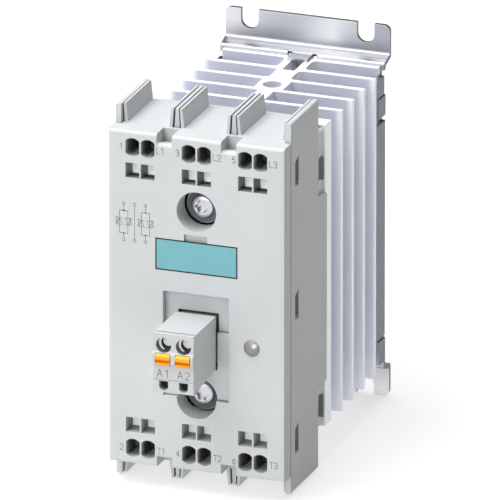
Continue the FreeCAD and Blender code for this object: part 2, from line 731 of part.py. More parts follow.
def build_base_housing():
    """Frame on the heat sink with side walls, barriers and screw posts."""
    base = new_body("base_housing")
    add(base, "Y", [frame_outline("0")], "frame_y", "sink_y")
    cut(base, "Y", [frame_outline("frame_wall")], "frame_y - 1", "floor_y")
    opening = rect("-(substrate_x + 0.3)", "substrate_x + 0.3", "-(substrate_z + 0.2)", "substrate_z + 0.2")
    cut(base, "Y", [opening], "floor_y - 1", "sink_y + 1")
    wall_side = side_wall_outline()
    add(base, "X", [wall_side], "-width/2", "-(width/2 - wall)")
    add(base, "X", [wall_side], "width/2 - wall", "width/2")
    inner = rect("barrier_x - 0.5", "barrier_x + 0.5", "block_low + 3.4", "frame_z - 0.5")
    inner_walls = [shape for one in both_sides(inner) for shape in both_ends(one)]
    add(base, "Y", inner_walls, "barrier_y + 0.3", "floor_y + 0.5")
    barriers = [shape for one in both_sides(barrier_outline()) for shape in both_ends(one)]
    add(base, "Y", barriers, "barrier_y + 0.3", "wall_rear_y")
    feet = both_ends(circle("0", "screw_z", "post_foot"))
    add(base, "Y", feet, "board_front_y + board_thick", "floor_y + 1")
    add(base, "Y", both_ends(circle("0", "screw_z", "post_radius")), "post_top_y", "floor_y + 1")
    cut(base, "Y", both_ends(circle("0", "screw_z", "post_bore")), "post_top_y - 1", "sink_y + 1")
    cut(base, "X", window_outlines(), "-width/2 - 1", "-(width/2 - wall)")
    cut(base, "X", window_outlines(), "width/2 - wall", "width/2 + 1")
    catches = [
        rect("catch_front", "sink_y + 1", f"{z} - catch_high/2", f"{z} + catch_high/2")
        for z in ("catch_top", "catch_low")
    ]
    cut(base, "X", catches, "-frame_x", "-frame_x + 1.2")
    cut(base, "X", catches, "frame_x - 1.2", "frame_x")
    tip = value("barrier_z")
    outer = value("width/2")
    dress(
        base,
        "Fillet",
        lambda e: along(e, "Y") and near(abs(middle_of(e).z), tip) and near(abs(middle_of(e).x), outer),
        "0.6",
    )
    keep(base)


# ---------------------------------------------------------------- small front pieces


def build_label_plate():
    """Snap-in label plate with two round clips."""
    label = new_body("label_plate")
    add(label, "Y", [centred("0", "label_z", "label_wide", "label_high")], "face_y", "face_y + label_thick")
    clips = both_sides(circle("label_wide/2 - 3", "label_z", "0.8"))
    add(label, "Y", clips, "face_y + label_thick - 0.1", "face_y + skin + 0.6")
    keep(label)


def build_terminal_panel():
    """Separate lower panel of the control recess, open round the plug and the screw well."""
    panel = new_body("terminal_panel")
    plate = rect(
        "recess_left + panel_gap",
        "recess_right - panel_gap",
        "recess_low + panel_gap",
        "recess_split - panel_gap",
    )
    add(panel, "Y", [plate], "face_y + panel_deep", "face_y + panel_deep + panel_thick")
    half = "plug_wide/2 + 0.3"
    mouth = rect(f"plug_x - {half}", f"plug_x + {half}", "plug_low_rear - 0.4", "recess_split + 1")
    cut(panel, "Y", [mouth], "face_y", "face_y + recess_back")
    cut(panel, "Y", [circle("0", "-screw_z", "well_bore")], "face_y", "face_y + recess_back")
    keep(panel)


def build_status_light():
    """Grey dome on a light guide, and the LED behind it."""
    dome_radius = "(light_radius^2 + light_proud^2)/(2*light_proud)"
    ball = doc.addObject("Part::Sphere", "light_ball")
    bind(ball, "Radius", dome_radius)
    put(ball, "light_x", f"face_y - light_proud + {dome_radius}", "light_z")
    stem = rod("light_stem", "light_x", "light_z", "light_radius", "face_y - 2", "face_y + skin - 0.1")
    dome = doc.addObject("Part::Common", "light_dome")
    dome.Base = ball
    dome.Tool = stem
    at = ("light_x", "light_z")
    rim = rod("light_rim", *at, "light_radius + 0.7", "face_y + skin", "face_y + skin + 0.9")
    guide = rod("light_guide", *at, "light_radius - 0.4", "face_y + 0.5", "board_front_y - 2.2")
    pipe = doc.addObject("Part::MultiFuse", "status_light_pipe")
    pipe.Shapes = [dome, rim, guide]
    keep(pipe, "status_light_pipe")
    led = block(
        "status_led",
        ("light_x - 1.4", "light_x + 1.4"),
        ("board_front_y - 2", "board_front_y"),
        ("light_z - 1.4", "light_z + 1.4"),
    )
    keep(led, "status_led")


def rod(name, x, z, radius, start, end):
    """Cylinder along Y from start to end."""
    cylinder = doc.addObject("Part::Cylinder", name)
    bind(cylinder, "Radius", radius)
    bind(cylinder, "Height", f"({end}) - ({start})")
    cylinder.Placement = FreeCAD.Placement(FreeCAD.Vector(), FreeCAD.Rotation(FreeCAD.Vector(1, 0, 0), -90))
    return put(cylinder, x, start, z)


def block(name, x, y, z):
    """Box between two limits along each axis."""
    box = doc.addObject("Part::Box", name)
    for size, axis, (low, high) in zip(("Length", "Width", "Height"), "xyz", (x, y, z)):
        bind(box, size, f"({high}) - ({low})")
        bind(box, f"Placement.Base.{axis}", low)
    return box


def build_housing_screws():
    """Two pan-head screws with six-lobe recesses, and the dark collars round their heads."""
    head_y = "post_top_y - screw_head_high"
    screw = turned(
        "housing_screw_top",
        [
            ("0", head_y),
            ("screw_head - 0.9", head_y),
            ("screw_head - 0.35", f"{head_y} + 0.15"),
            ("screw_head - 0.08", f"{head_y} + 0.5"),
            ("screw_head", f"{head_y} + 0.9"),
            ("screw_head", "post_top_y"),
            ("screw_shank", "post_top_y"),
            ("screw_shank", "screw_end_y - 0.8"),
            ("screw_shank - 0.8", "screw_end_y"),
            ("0", "screw_end_y"),
        ],
    )
    turns = [math.radians(60 * i) for i in range(6)]
    lobes = [
        circle(f"drive_core*{math.cos(a):.6f}", f"drive_core*{math.sin(a):.6f}", "drive_lobe")
        for a in turns
    ]
    drive_end = f"{head_y} + drive_deep"
    cut(screw, "Y", [circle("0", "0", "drive_core")], f"{head_y} - 0.5", drive_end)
    cut(screw, "Y", lobes, f"{head_y} - 0.5", drive_end)
    put(screw, z="screw_z")
    keep(group("housing_screws", [screw, mirrored("housing_screw_bottom", screw)]))

    collar = turned(
        "screw_collar_top",
        [
            ("screw_head + 0.1", "post_top_y - collar_high"),
            ("collar_outer", "post_top_y - collar_high"),
            ("collar_outer", "post_top_y"),
            ("screw_head + 0.1", "post_top_y"),
        ],
    )
    put(collar, z="screw_z")
    keep(group("screw_collars", [collar, mirrored("screw_collar_bottom", collar)]))


def mirrored(label, item):
    """Mirror image below the mid plane."""
    image = doc.addObject("Part::Mirroring", label)
    image.Source = item
    image.Base = FreeCAD.Vector(0, 0, 0)
    image.Normal = FreeCAD.Vector(0, 0, 1)
    return image


# ---------------------------------------------------------------- control plug and socket

PLUG_POLES = {"a1": "(plug_x - plug_pitch/2)", "a2": "(plug_x + plug_pitch/2)"}


def build_plug_body():
    """Two-pole plug: wire holes, button slots and test openings in front, a tongue behind."""
    plug = new_body("control_plug_body")
    side = polygon(
        ("plug_front_y", "plug_low_front"),
        ("plug_step_y", "plug_low_rear"),
        ("plug_step_y", "plug_top"),
        ("plug_front_y", "plug_top"),
    )
    add(plug, "X", [side], "plug_x - plug_wide/2", "plug_x + plug_wide/2")
    tongue = rect("plug_step_y - 0.5", "plug_rear_y", "plug_low_rear + 0.6", "plug_top - 0.6")
    add(plug, "X", [tongue], "plug_x - plug_wide/2 + 0.6", "plug_x + plug_wide/2 - 0.6")
    top, low = "button_z + button_high/2 + button_gap", "button_z - button_high/2 - button_gap"
    cheeks = polygon(
        ("plug_front_y + 0.2", f"{top} + 0.5"),
        ("plug_front_y - cheek_proud", f"{top} - 0.2"),
        ("plug_front_y - cheek_proud", f"{low} + 0.4"),
        ("plug_front_y + 0.2", f"{low} - 0.1"),
    )
    add(plug, "X", [cheeks], "plug_x - plug_wide/2", "plug_x + plug_wide/2")
    grooves = [
        rect("plug_front_y + 1.1", "plug_front_y + 1.8", "plug_top - 0.9", "plug_top + 1"),
        rect("plug_front_y - 1", "plug_front_y + 0.15", "line_z - 0.12", "line_z + 0.12"),
    ]
    cut(plug, "X", grooves, "plug_x - plug_wide/2 - 1", "plug_x + plug_wide/2 + 1")
    poles = PLUG_POLES.values()
    mouths = [circle(x, "wire_z", "wire_radius") for x in poles]
    cut(plug, "Y", mouths, "plug_front_y - 1", "plug_front_y + wire_mouth")
    throats = [circle(x, "wire_z", "wire_throat") for x in poles]
    cut(plug, "Y", throats, "plug_front_y", "plug_front_y + wire_deep")
    slot_wide, slot_high = "(button_wide + 2*button_gap)", "(button_high + 2*button_gap)"
    slots = [centred(x, "button_z", slot_wide, slot_high) for x in poles]
    room = "button_long - button_proud + button_travel + 0.3"
    cut(plug, "Y", slots, "plug_front_y - 1", f"plug_front_y + {room}")
    arch_z = "probe_z - probe_high/2 + probe_wide/2"
    flat_tops = [
        rect(f"{x} - probe_wide/2", f"{x} + probe_wide/2", arch_z, "probe_z + probe_high/2") for x in poles
    ]
    round_ends = [circle(x, arch_z, "probe_wide/2") for x in poles]
    cut(plug, "Y", flat_tops, "plug_front_y - 1", "plug_front_y + 4")
    cut(plug, "Y", round_ends, "plug_front_y - 1", "plug_front_y + 4")
    sleeves = [centred(x, "contact_z", "contact_side", "contact_side") for x in poles]
    cut(plug, "Y", sleeves, "plug_rear_y - 10", "plug_rear_y + 1")
    keep(plug)


def build_release_buttons():
    """Orange release buttons with a V groove across their fronts."""
    front = "plug_front_y - button_proud"
    low, high = "button_z - button_high/2", "button_z + button_high/2"
    for name, x in PLUG_POLES.items():
        button = new_body(f"release_button_{name}")
        side = polygon(
            (f"{front} + 0.35", low),
            (f"{front} + button_long", low),
            (f"{front} + button_long", high),
            (f"{front} + 0.55", high),
            (front, f"{high} - 0.45"),
            (f"{front} + 0.1", f"{low} + 1.15"),
            (f"{front} + 0.75", f"{low} + 0.75"),
            (f"{front} + 0.1", f"{low} + 0.3"),
        )
        add(button, "X", [side], f"{x} - button_wide/2", f"{x} + button_wide/2")
        keep(button)


def build_plug_metal():
    """Clamping plates at the end of the wire holes, and the sleeves that take the socket's pins."""
    for name, x in PLUG_POLES.items():
        label = f"wire_clamp_{name}"
        plate_end = "plug_front_y + wire_deep"
        plate = rod(label, x, "wire_z", "wire_throat - 0.05", f"{plate_end} - 0.4", f"{plate_end} - 0.05")
        keep(plate, label)
    for name, x in PLUG_POLES.items():
        sleeve = new_body(f"plug_contact_{name}")
        outline = centred(x, "contact_z", "contact_side", "contact_side")
        add(sleeve, "Y", [outline], "plug_rear_y - 9.9", "plug_rear_y - 0.2")
        bore = centred(x, "contact_z", "(pin_side + 0.2)", "(pin_side + 0.2)")
        cut(sleeve, "Y", [bore], "plug_rear_y - 5", "plug_rear_y + 1")
        keep(sleeve)


def build_control_socket():
    """Socket on the control board, with its two pins."""
    socket = new_body("control_socket")
    outer = "plug_wide/2 - 0.6 + socket_gap + socket_wall"
    top, low = "plug_top - 0.6 + socket_gap", "plug_low_rear + 0.6 - socket_gap"
    shell = rect(f"plug_x - ({outer})", f"plug_x + {outer}", f"{low} - socket_wall", f"{top} + socket_wall")
    add(socket, "Y", [shell], "socket_front_y", "board_front_y")
    inner = "plug_wide/2 - 0.6 + socket_gap"
    cavity = rect(f"plug_x - ({inner})", f"plug_x + {inner}", low, top)
    cut(socket, "Y", [cavity], "socket_front_y - 1", "socket_floor_y")
    pins = [centred(x, "contact_z", "pin_side", "pin_side") for x in PLUG_POLES.values()]
    cut(socket, "Y", pins, "socket_floor_y - 1", "board_front_y + 1")
    keep(socket)
    boxes = [
        block(
            f"control_pin_{name}",
            (f"{x} - pin_side/2", f"{x} + pin_side/2"),
            ("plug_rear_y - 3.4", "board_front_y + board_thick + 1"),
            ("contact_z - pin_side/2", "contact_z + pin_side/2"),
        )
        for name, x in PLUG_POLES.items()
    ]
    keep(group("control_pins", boxes))


# ---------------------------------------------------------------- control electronics


def gate_places():
    """Gate pins, one for each thyristor."""
    return [(x, z) for x in ("-11", "11") for z in ("-13.2", "13.2")]


def build_control_board():
    """Board on the screw posts' shoulders, with its parts."""
    board = new_body("control_board")
    rear = "board_front_y + board_thick"
    add(board, "Y", [rect("-board_x", "board_x", "-board_z", "board_z")], "board_front_y", rear)
    post_holes = both_ends(circle("0", "screw_z", "post_radius + 0.3"))
    cut(board, "Y", post_holes, "board_front_y - 1", f"{rear} + 1")
    pins = [centred(x, "contact_z", "pin_side", "pin_side") for x in PLUG_POLES.values()]
    gates = [circle(x, z, "0.5") for x, z in gate_places()]
    cut(board, "Y", pins + gates, "board_front_y - 1", f"{rear} + 1")
    keep(board)
    chip_front = "sink_y - paste - substrate_thick"
    gate_rods = [
        rod(f"gate_pin_{i}", x, z, "0.4", "board_front_y", chip_front)
        for i, (x, z) in enumerate(gate_places())
    ]
    keep(group("gate_pins", gate_rods))
    coupler_places = [("-15.5", z) for z in ("4", "-8")]
    group_of_blocks("optocouplers", coupler_places, ("6.5", "4.6"), (rear, f"{rear} + 3.5"))
    resistor_places = [("2.5", z) for z in ("-6", "-2", "2", "6")]
    group_of_blocks("board_resistors", resistor_places, ("3.2", "1.6"), (rear, f"{rear} + 0.6"))
    front = ("board_front_y - 7.5", "board_front_y")
    group_of_blocks("snubber_capacitors", [("-13", "14"), ("13", "14")], ("6", "13"), front)
    discs = [
        rod(f"varistor_{i}", x, "-20", "4.2", "board_front_y - 3.6", "board_front_y - 0.2")
        for i, x in enumerate(("-12.5", "12.5"))
    ]
    keep(group("varistors", discs))


def group_of_blocks(label, places, size, y):
    """Sub-part of equal blocks at the given (X, Z) places."""
    wide, high = size
    boxes = []
    for i, (x, z) in enumerate(places):
        across = (f"{x} - {wide}/2", f"{x} + {wide}/2")
        up = (f"{z} - {high}/2", f"{z} + {high}/2")
        boxes.append(block(f"{label}_{i}", across, y, up))
    keep(group(label, boxes))


# ---------------------------------------------------------------- power path


def bar_outline(end, foot):
    """Current bar across X: from the clamp round the frame's end, then down to the floor."""
    level = "bar_floor_y"
    contact_top = "cover_z - deck - 0.25"
    inner = "frame_z - frame_wall - 0.3"
    points = [
        ("leaf_y", f"{contact_top}"),
        ("frame_y - 0.6", f"{contact_top}"),
        ("frame_y - 0.6", inner),
        (level, inner),
    ]
    if foot:
        points += [
            (level, "17.5"),
            ("sink_y - paste - substrate_thick", "17.5"),
            ("sink_y - paste - substrate_thick", "17.5 - copper"),
            (f"{level} - copper", "17.5 - copper"),
        ]
    else:
        points += [(level, "30"), (f"{level} - copper", "30")]
    points += [
        (f"{level} - copper", f"{inner} - copper"),
        ("frame_y - 0.6 - copper", f"{inner} - copper"),
        ("frame_y - 0.6 - copper", f"{contact_top} - copper"),
        ("leaf_y", f"{contact_top} - copper"),
    ]
    outline = polygon(*points)
    return outline if end == "top" else flipped(outline, 1)


def build_current_bars():
    """Copper bars of the two switched phases, and the straight-through bar of the middle one."""
    for pole in ("1", "3"):
        x = POLES[pole]
        for end in ENDS:
            bar = new_body(f"current_bar_{pole}_{end}")
            add(bar, "X", [bar_outline(end, True)], f"{x} - bar_wide/2", f"{x} + bar_wide/2")
            keep(bar)
    middle = new_body("bypass_bar")
    add(middle, "Y", [rect("5.7", "8.6", "-31.4", "31.4")], "bar_floor_y - copper", "bar_floor_y")
    cross = both_ends(rect("-bar_wide/2", "6", "29.6", "31.4"))
    add(middle, "Y", cross, "bar_floor_y - copper", "bar_floor_y")
    for end in ENDS:
        add(middle, "X", [bar_outline(end, False)], "-bar_wide/2", "bar_wide/2")
    keep(middle)


def leaf_outline(end):
    """Spring leaf across X: flat root, round back and a tongue that leans on the bar."""
    points = [
        ("leaf_y", "leaf_z"),
        ("leaf_y + 8.4", "leaf_z"),
        ("leaf_y + 10.2", "leaf_z + 1.2"),
        ("leaf_y + 10.4", "leaf_z + 3.0"),
        ("leaf_y + 6.0", "leaf_z + 7.3"),
        ("leaf_y + 5.7", "leaf_z + 7.0"),
        ("leaf_y + 9.9", "leaf_z + 2.9"),
        ("leaf_y + 9.8", "leaf_z + 1.5"),
        ("leaf_y + 8.2", "leaf_z + leaf"),
        ("leaf_y", "leaf_z + leaf"),
    ]
    outline = polygon(*points)
    return outline if end == "top" else flipped(outline, 1)


def build_clamp_springs():
    """Two leaf clamps at each end of each pole, one for each conductor hole."""
    for pole, x in POLES.items():
        for end in ENDS:
            leaves = []
            for side, sign in (("left", "-"), ("right", "+")):
                leaf = new_body(f"clamp_leaf_{pole}_{end}_{side}")
                centre = f"{x} {sign} entry_x"
                add(leaf, "X", [leaf_outline(end)], f"{centre} - leaf_wide/2", f"{centre} + leaf_wide/2")
                leaves.append(leaf)
            keep(group(f"clamp_springs_{pole}_{end}", leaves))


def build_power_module():
    """Thermal pad, ceramic substrate and four thyristor chips on the heat sink."""
    x, z = ("-substrate_x", "substrate_x"), ("-substrate_z", "substrate_z")
    front = "sink_y - paste - substrate_thick"
    keep(block("thermal_pad", x, ("sink_y - paste", "sink_y"), z), "thermal_pad")
    keep(block("power_substrate", x, (front, "sink_y - paste"), z), "power_substrate")
    places = [(x, z) for x in ("-11.5", "11.5") for z in ("-6.5", "6.5")]
    group_of_blocks("thyristor_chips", places, ("7", "7"), (f"{front} - 0.4", front))


# ---------------------------------------------------------------- heat sink


def build_heat_sink():
    """Extruded heat sink: base plate, four long fins, a short last fin and a central web."""
    sink = new_body("heat_sink")
    low, high = "-sink_z", "sink_z"
    base_rear = "sink_y + sink_base"

    def bay(number):
        """Rear face of a fin, counted from the base plate."""
        return f"{base_rear} + {number}*fin_pitch"

    add(sink, "Z", [rect("-sink_base_x", "sink_base_x", "sink_y", base_rear)], low, high)
    for number, half in enumerate(("web_thin", "web_thin", "web_channel", "web_round")):
        web = rect(minus(half), half, f"{bay(number)} - 0.5", f"{bay(number + 1)} - 0.2")
        add(sink, "Z", [web], low, high)
    add(sink, "Z", [rect("-web_slot", "web_slot", f"{bay(4)} - 0.5", "short_fin_y - 0.2")], low, high)
    for number in range(1, 5):
        fin = rect("-fin_x", "fin_x", f"{bay(number)} - fin", bay(number))
        add(sink, "Z", [fin], low, high)
    add(sink, "Z", [rect("-short_fin_x", "short_fin_x", "short_fin_y - fin", "short_fin_y")], low, high)
    round_webs = (value("web_round"), value("web_slot"))
    dress(
        sink,
        "Fillet",
        lambda e: along(e, "Z") and any(near(abs(middle_of(e).x), half) for half in round_webs),
        "pocket_round",
    )
    channel_y = f"{bay(2)} + (fin_pitch - fin)/2 - 0.1"
    cut(sink, "Z", [circle("0", channel_y, "channel_radius")], "-sink_z - 1", "sink_z + 1")
    slot = rect("-slot_half", "slot_half", f"{bay(4)} - fin - 0.4", "short_fin_y + 1")
    cut(sink, "Z", [slot], "-sink_z - 1", "sink_z + 1")
    tapped = both_ends(circle("0", "screw_z", "screw_shank + 0.05"))
    cut(sink, "Y", tapped, "sink_y - 1", "screw_end_y + 0.5")
    keep(sink)


# ---------------------------------------------------------------- mounting plate and rail fixing


def plate_profile():
    """Bent sheet across X: flanges at the rear, middle sheet stepped forward."""
    upper = [
        ("0", "plate_z"),
        ("-sheet", "plate_z"),
        ("-sheet", "bend_outer_z"),
        ("plate_step_y", "bend_inner_z"),
    ]
    lower = [(y, minus(z)) for y, z in reversed(upper[1:])]
    back = [
        ("0", "-plate_z"),
        ("0", "-(bend_outer_z - 0.9)"),
        ("plate_step_y + sheet", "-(bend_inner_z - 0.9)"),
        ("plate_step_y + sheet", "bend_inner_z - 0.9"),
        ("0", "bend_outer_z - 0.9"),
    ]
    return polygon(*(upper + lower + back))


def tab_outlines():
    """Side flanges and tabs of the plate, across X."""
    rear = "plate_step_y + sheet"
    return [
        rect("tab_y", f"{rear} - 0.3", "-30.9", "24.9"),
        rect("small_tab_y", rear, "26.2", "31.4"),
        rect("small_tab_y - 1.4", f"{rear} - 0.9", "31.9", "36.5"),
        rect("small_tab_y", rear, "-37.6", "-31.5"),
    ]


def build_mounting_plate():
    """Sheet-steel plate with open screw slots, side flanges, a tongue and rail hooks."""
    plate = new_body("mounting_plate")
    add(plate, "X", [plate_profile()], "-plate_x", "plate_x")
    bends = [value("bend_outer_z"), value("bend_inner_z")]
    bends += [height - 0.9 for height in bends]
    dress(
        plate,
        "Fillet",
        lambda e: along(e, "X") and any(near(abs(middle_of(e).z), height) for height in bends),
        "0.7",
    )
    margins = rect("middle_x", "plate_x + 1", "-middle_z", "middle_z")
    cut(plate, "Y", both_sides(margins), "plate_step_y - 1", "1")
    slot_mouth = rect("hole_x - hole_radius", "hole_x + hole_radius", "hole_z", "plate_z + 1")
    mouths = [shape for one in both_sides(slot_mouth) for shape in both_ends(one)]
    cut(plate, "Y", mouths, "-sheet - 1", "1")
    ends = [
        circle(f"{side}hole_x", f"{end}hole_z", "hole_radius")
        for side in ("", "-")
        for end in ENDS.values()
    ]
    cut(plate, "Y", ends, "-sheet - 1", "1")
    corner_x, corner_z = value("plate_x"), value("plate_z")
    dress(
        plate,
        "Fillet",
        lambda e: along(e, "Y")
        and near(abs(middle_of(e).x), corner_x)
        and near(abs(middle_of(e).z), corner_z),
        "flat_corner",
    )
    relief = rect("tongue_half", "tongue_half + 1.2", "middle_z", "bend_inner_z + 0.1")
    cut(plate, "Y", both_sides(relief), "plate_step_y - 1", "plate_step_y + sheet + 0.4")
    tongue = rect("-tongue_half", "tongue_half", "tongue_y", "plate_step_y + 0.4")
    add(plate, "Z", [tongue], "sink_z + 0.05", "sink_z + 0.85")
    add(plate, "X", tab_outlines(), "middle_x - 0.1", "plate_x")
    add(plate, "X", tab_outlines(), "-plate_x", "-(middle_x - 0.1)")
    rear = "plate_step_y + sheet"
    hook_top = "rail_half + rail_play + 1.0"
    ledge = rect("hook_x - hook_wide/2", "hook_x + hook_wide/2", "rail_half + rail_play", hook_top)
    lip_y = f"{rear} + rail_lip + rail_play"
    add(plate, "Y", both_sides(ledge), f"{rear} - 0.2", f"{lip_y} + sheet")
    lip = rect("hook_x - hook_wide/2", "hook_x + hook_wide/2", "rail_half - hook_grip", hook_top)
    add(plate, "Y", both_sides(lip), lip_y, f"{lip_y} + sheet")
    lance = rect("hook_x - hook_wide/2", "hook_x + hook_wide/2", "rail_half - 4", "rail_half + rail_play")
    cut(plate, "Y", both_sides(lance), "plate_step_y - 1", rear)
    add(plate, "Y", [centred("0", "peg_z", "2.8", "1.0")], f"{rear} - 0.2", f"{rear} + 2.2")
    way = rect("-(latch_tail_wide/2 + 0.6)", "latch_tail_wide/2 + 0.6", "-plate_z - 1", "-middle_z + 0.3")
    cut(plate, "Y", [way], "plate_step_y - 1", "1")
    holes = [circle("0", "plate_screw_top", "1.7"), circle("0", "plate_screw_low", "1.7")]
    cut(plate, "Y", holes, "plate_step_y - 1", "0")
    keep(plate)


def build_plate_screws():
    """Two screws that hold the plate in the heat sink's rear slot."""
    rear = "plate_step_y + sheet"
    screw = turned(
        "plate_screw",
        [
            ("0", f"{rear} - 8"),
            ("1.0", f"{rear} - 8"),
            ("1.5", f"{rear} - 7.4"),
            ("1.5", rear),
            ("3.0", rear),
            ("3.0", f"{rear} + 0.7"),
            ("2.3", f"{rear} + 1.7"),
            ("0", f"{rear} + 1.7"),
        ],
    )
    bar = centred("0", "0", "3.2", "0.7")
    cross = centred("0", "0", "0.7", "3.2")
    cut(screw, "Y", [bar], f"{rear} + 0.8", f"{rear} + 3")
    cut(screw, "Y", [cross], f"{rear} + 0.8", f"{rear} + 3")
    put(screw, z="plate_screw_top")
    lower = doc.addObject("Part::Feature", "plate_screw_lower")
    lower.Shape = screw.Shape.copy()
    lower.Placement.Base = FreeCAD.Vector(0, 0, value("plate_screw_low"))
    put(lower, z="plate_screw_low")
    keep(group("plate_screws", [screw, lower]))


def build_rail_latch():
    """Sliding latch with a nose behind the rail's lip, its guide and its spring."""
    rear = "plate_step_y + sheet"
    front_y = f"{rear} + 0.2"
    latch = new_body("rail_latch")
    head_low = "guide_top + latch_travel + 0.3"
    head = rect("-latch_wide/2", "latch_wide/2", head_low, "-(rail_half + rail_play)")
    back_y = f"{front_y} + latch_thick + 0.5"
    add(latch, "Y", [head], front_y, back_y)
    nose = rect("-latch_wide/2", "latch_wide/2", "-(rail_half + rail_play + 1)", "-(rail_half - 2.4)")
    add(latch, "Y", [nose], f"{rear} + rail_lip + rail_play", back_y)
    tail = rect("-latch_tail_wide/2", "latch_tail_wide/2", "-47.6", "guide_top + latch_travel + 1")
    add(latch, "Y", [tail], front_y, f"{front_y} + latch_thick")
    window = rect("-1.7", "1.7", "peg_z - 0.8", "spring_top + 0.1")
    cut(latch, "Y", [window], f"{front_y} - 1", f"{back_y} + 1")
    eye = rect("-2", "2", "-46.4", "-44.4")
    cut(latch, "Y", [eye], f"{front_y} - 1", f"{back_y} + 1")
    keep(latch)

    guide = new_body("latch_guide")
    low = "guide_top - guide_high"
    bridge_y = f"{front_y} + latch_thick + 0.15"
    outer = "latch_tail_wide/2 + 2.6"
    add(guide, "Y", [rect(minus(outer), outer, low, "guide_top")], rear, f"{bridge_y} + 0.8")
    inner = "latch_tail_wide/2 + 0.3"
    cut(guide, "Y", [rect(minus(inner), inner, f"{low} - 1", "guide_top + 1")], f"{rear} - 1", bridge_y)
    keep(guide)

    coil = doc.addObject("Part::Helix", "latch_spring_coil")
    bind(coil, "Radius", "spring_radius")
    bind(coil, "Height", "spring_top - (peg_z + 0.5) - 2*spring_wire - 0.1")
    coil.Pitch = 1.6
    wire = doc.addObject("Part::Circle", "latch_spring_wire")
    bind(wire, "Radius", "spring_wire")
    wire.Placement = FreeCAD.Placement(FreeCAD.Vector(), FreeCAD.Rotation(FreeCAD.Vector(1, 0, 0), 90))
    put(wire, "spring_radius")
    spring = doc.addObject("Part::Sweep", "latch_spring")
    spring.Sections = [wire]
    spring.Spine = (coil, [])
    spring.Solid = True
    spring.Frenet = True
    put(spring, "0", f"{rear} + 1.4", "peg_z + 0.5 + spring_wire + 0.05")
    keep(spring, "latch_spring")


# ---------------------------------------------------------------- build, check and write


def check_document():
    """Stop if any object failed or any sub-part has no valid solid."""
    for item in doc.Objects:
        if "Invalid" in item.State or "Error" in item.State:
            raise RuntimeError(f"{item.Label} failed: {item.State}")
    for node in nodes:
        if node.Shape.isNull() or not node.Shape.isValid() or not node.Shape.Solids:
            raise RuntimeError(f"{node.Label} has no valid solid")


def write_parts():
    """Write each sub-part to its own STEP file."""
    os.makedirs("parts", exist_ok=True)
    for node in nodes:
        node.Shape.exportStep(f"parts/{node.Label}.step")
        print(f"{node.Label}: {len(node.Shape.Solids)} solid(s), {node.Shape.Volume:.1f} mm3")


def main():
    fill_sheet()
    build_front_cover()
    build_release_levers()
    build_base_housing()
    build_label_plate()
    build_terminal_panel()
    build_status_light()
    build_housing_screws()
    build_plug_body()
    build_release_buttons()
    build_plug_metal()
    build_control_socket()
    build_control_board()
    build_current_bars()
    build_clamp_springs()
    build_power_module()
    build_heat_sink()
    build_mounting_plate()
    build_plate_screws()
    build_rail_latch()
    doc.recompute()
    check_document()
    write_parts()


main()
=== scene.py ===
import json
import math

import bmesh
import bpy
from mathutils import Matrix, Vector


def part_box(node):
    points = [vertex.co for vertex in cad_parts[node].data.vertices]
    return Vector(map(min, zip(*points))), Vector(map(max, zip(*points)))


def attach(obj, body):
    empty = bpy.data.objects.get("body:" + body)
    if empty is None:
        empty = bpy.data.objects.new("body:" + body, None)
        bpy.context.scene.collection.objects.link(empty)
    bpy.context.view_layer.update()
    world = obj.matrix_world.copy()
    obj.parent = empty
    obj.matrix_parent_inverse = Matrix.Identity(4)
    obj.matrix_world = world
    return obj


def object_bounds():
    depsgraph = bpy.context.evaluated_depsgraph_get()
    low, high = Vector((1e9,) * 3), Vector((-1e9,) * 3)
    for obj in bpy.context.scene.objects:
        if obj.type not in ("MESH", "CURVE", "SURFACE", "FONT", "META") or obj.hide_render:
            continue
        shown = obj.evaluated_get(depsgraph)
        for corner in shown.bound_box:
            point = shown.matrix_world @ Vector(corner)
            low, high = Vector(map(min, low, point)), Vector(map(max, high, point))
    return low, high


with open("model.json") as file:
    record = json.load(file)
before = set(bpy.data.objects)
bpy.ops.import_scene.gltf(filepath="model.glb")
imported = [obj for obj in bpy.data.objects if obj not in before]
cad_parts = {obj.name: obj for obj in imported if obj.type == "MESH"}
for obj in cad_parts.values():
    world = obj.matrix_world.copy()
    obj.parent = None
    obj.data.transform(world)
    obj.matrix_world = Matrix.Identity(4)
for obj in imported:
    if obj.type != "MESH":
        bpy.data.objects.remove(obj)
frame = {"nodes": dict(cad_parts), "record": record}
cad_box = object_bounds()

MM = 0.001


# ---------------------------------------------------------------- places on the object, in mm


def corners(node):
    """Lowest and highest corner of a node."""
    return [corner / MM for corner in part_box(node)]


def middle(node):
    """Middle of a node's box."""
    low, high = corners(node)
    return (low + high) / 2


FACE = corners("front_cover")[0].y
FACE_SKIN = (FACE + 0.1, FACE + 0.6)
HALF_WIDTH = cad_box[1].x / MM
WALL_SKIN = (HALF_WIDTH - 0.7, HALF_WIDTH - 0.2)
SEAM = corners("base_housing")[0].y - 0.15
SEAM_FADE = (0.18, 0.46)

# Each pole has two conductor holes and two lever openings at each end, in the same two columns.
POLES = [middle(f"clamp_springs_{pole}_top").x for pole in (1, 2, 3)]
HALF_PITCH = (POLES[2] - POLES[1]) / 2
OPENING_OFFSET = 1.97
OPENING_REACH = 3.7
OPENING_DEPTH = 9.0
HOLE_FADE = (FACE, FACE + 2.8)
CONDUCTOR_ROWS = (36.4, 40.7)
LEVER_ROWS = (30.7, 34.7)
WELL_HEIGHTS = (-24.0, 24.0)
WELL_RADIUS = 5.3

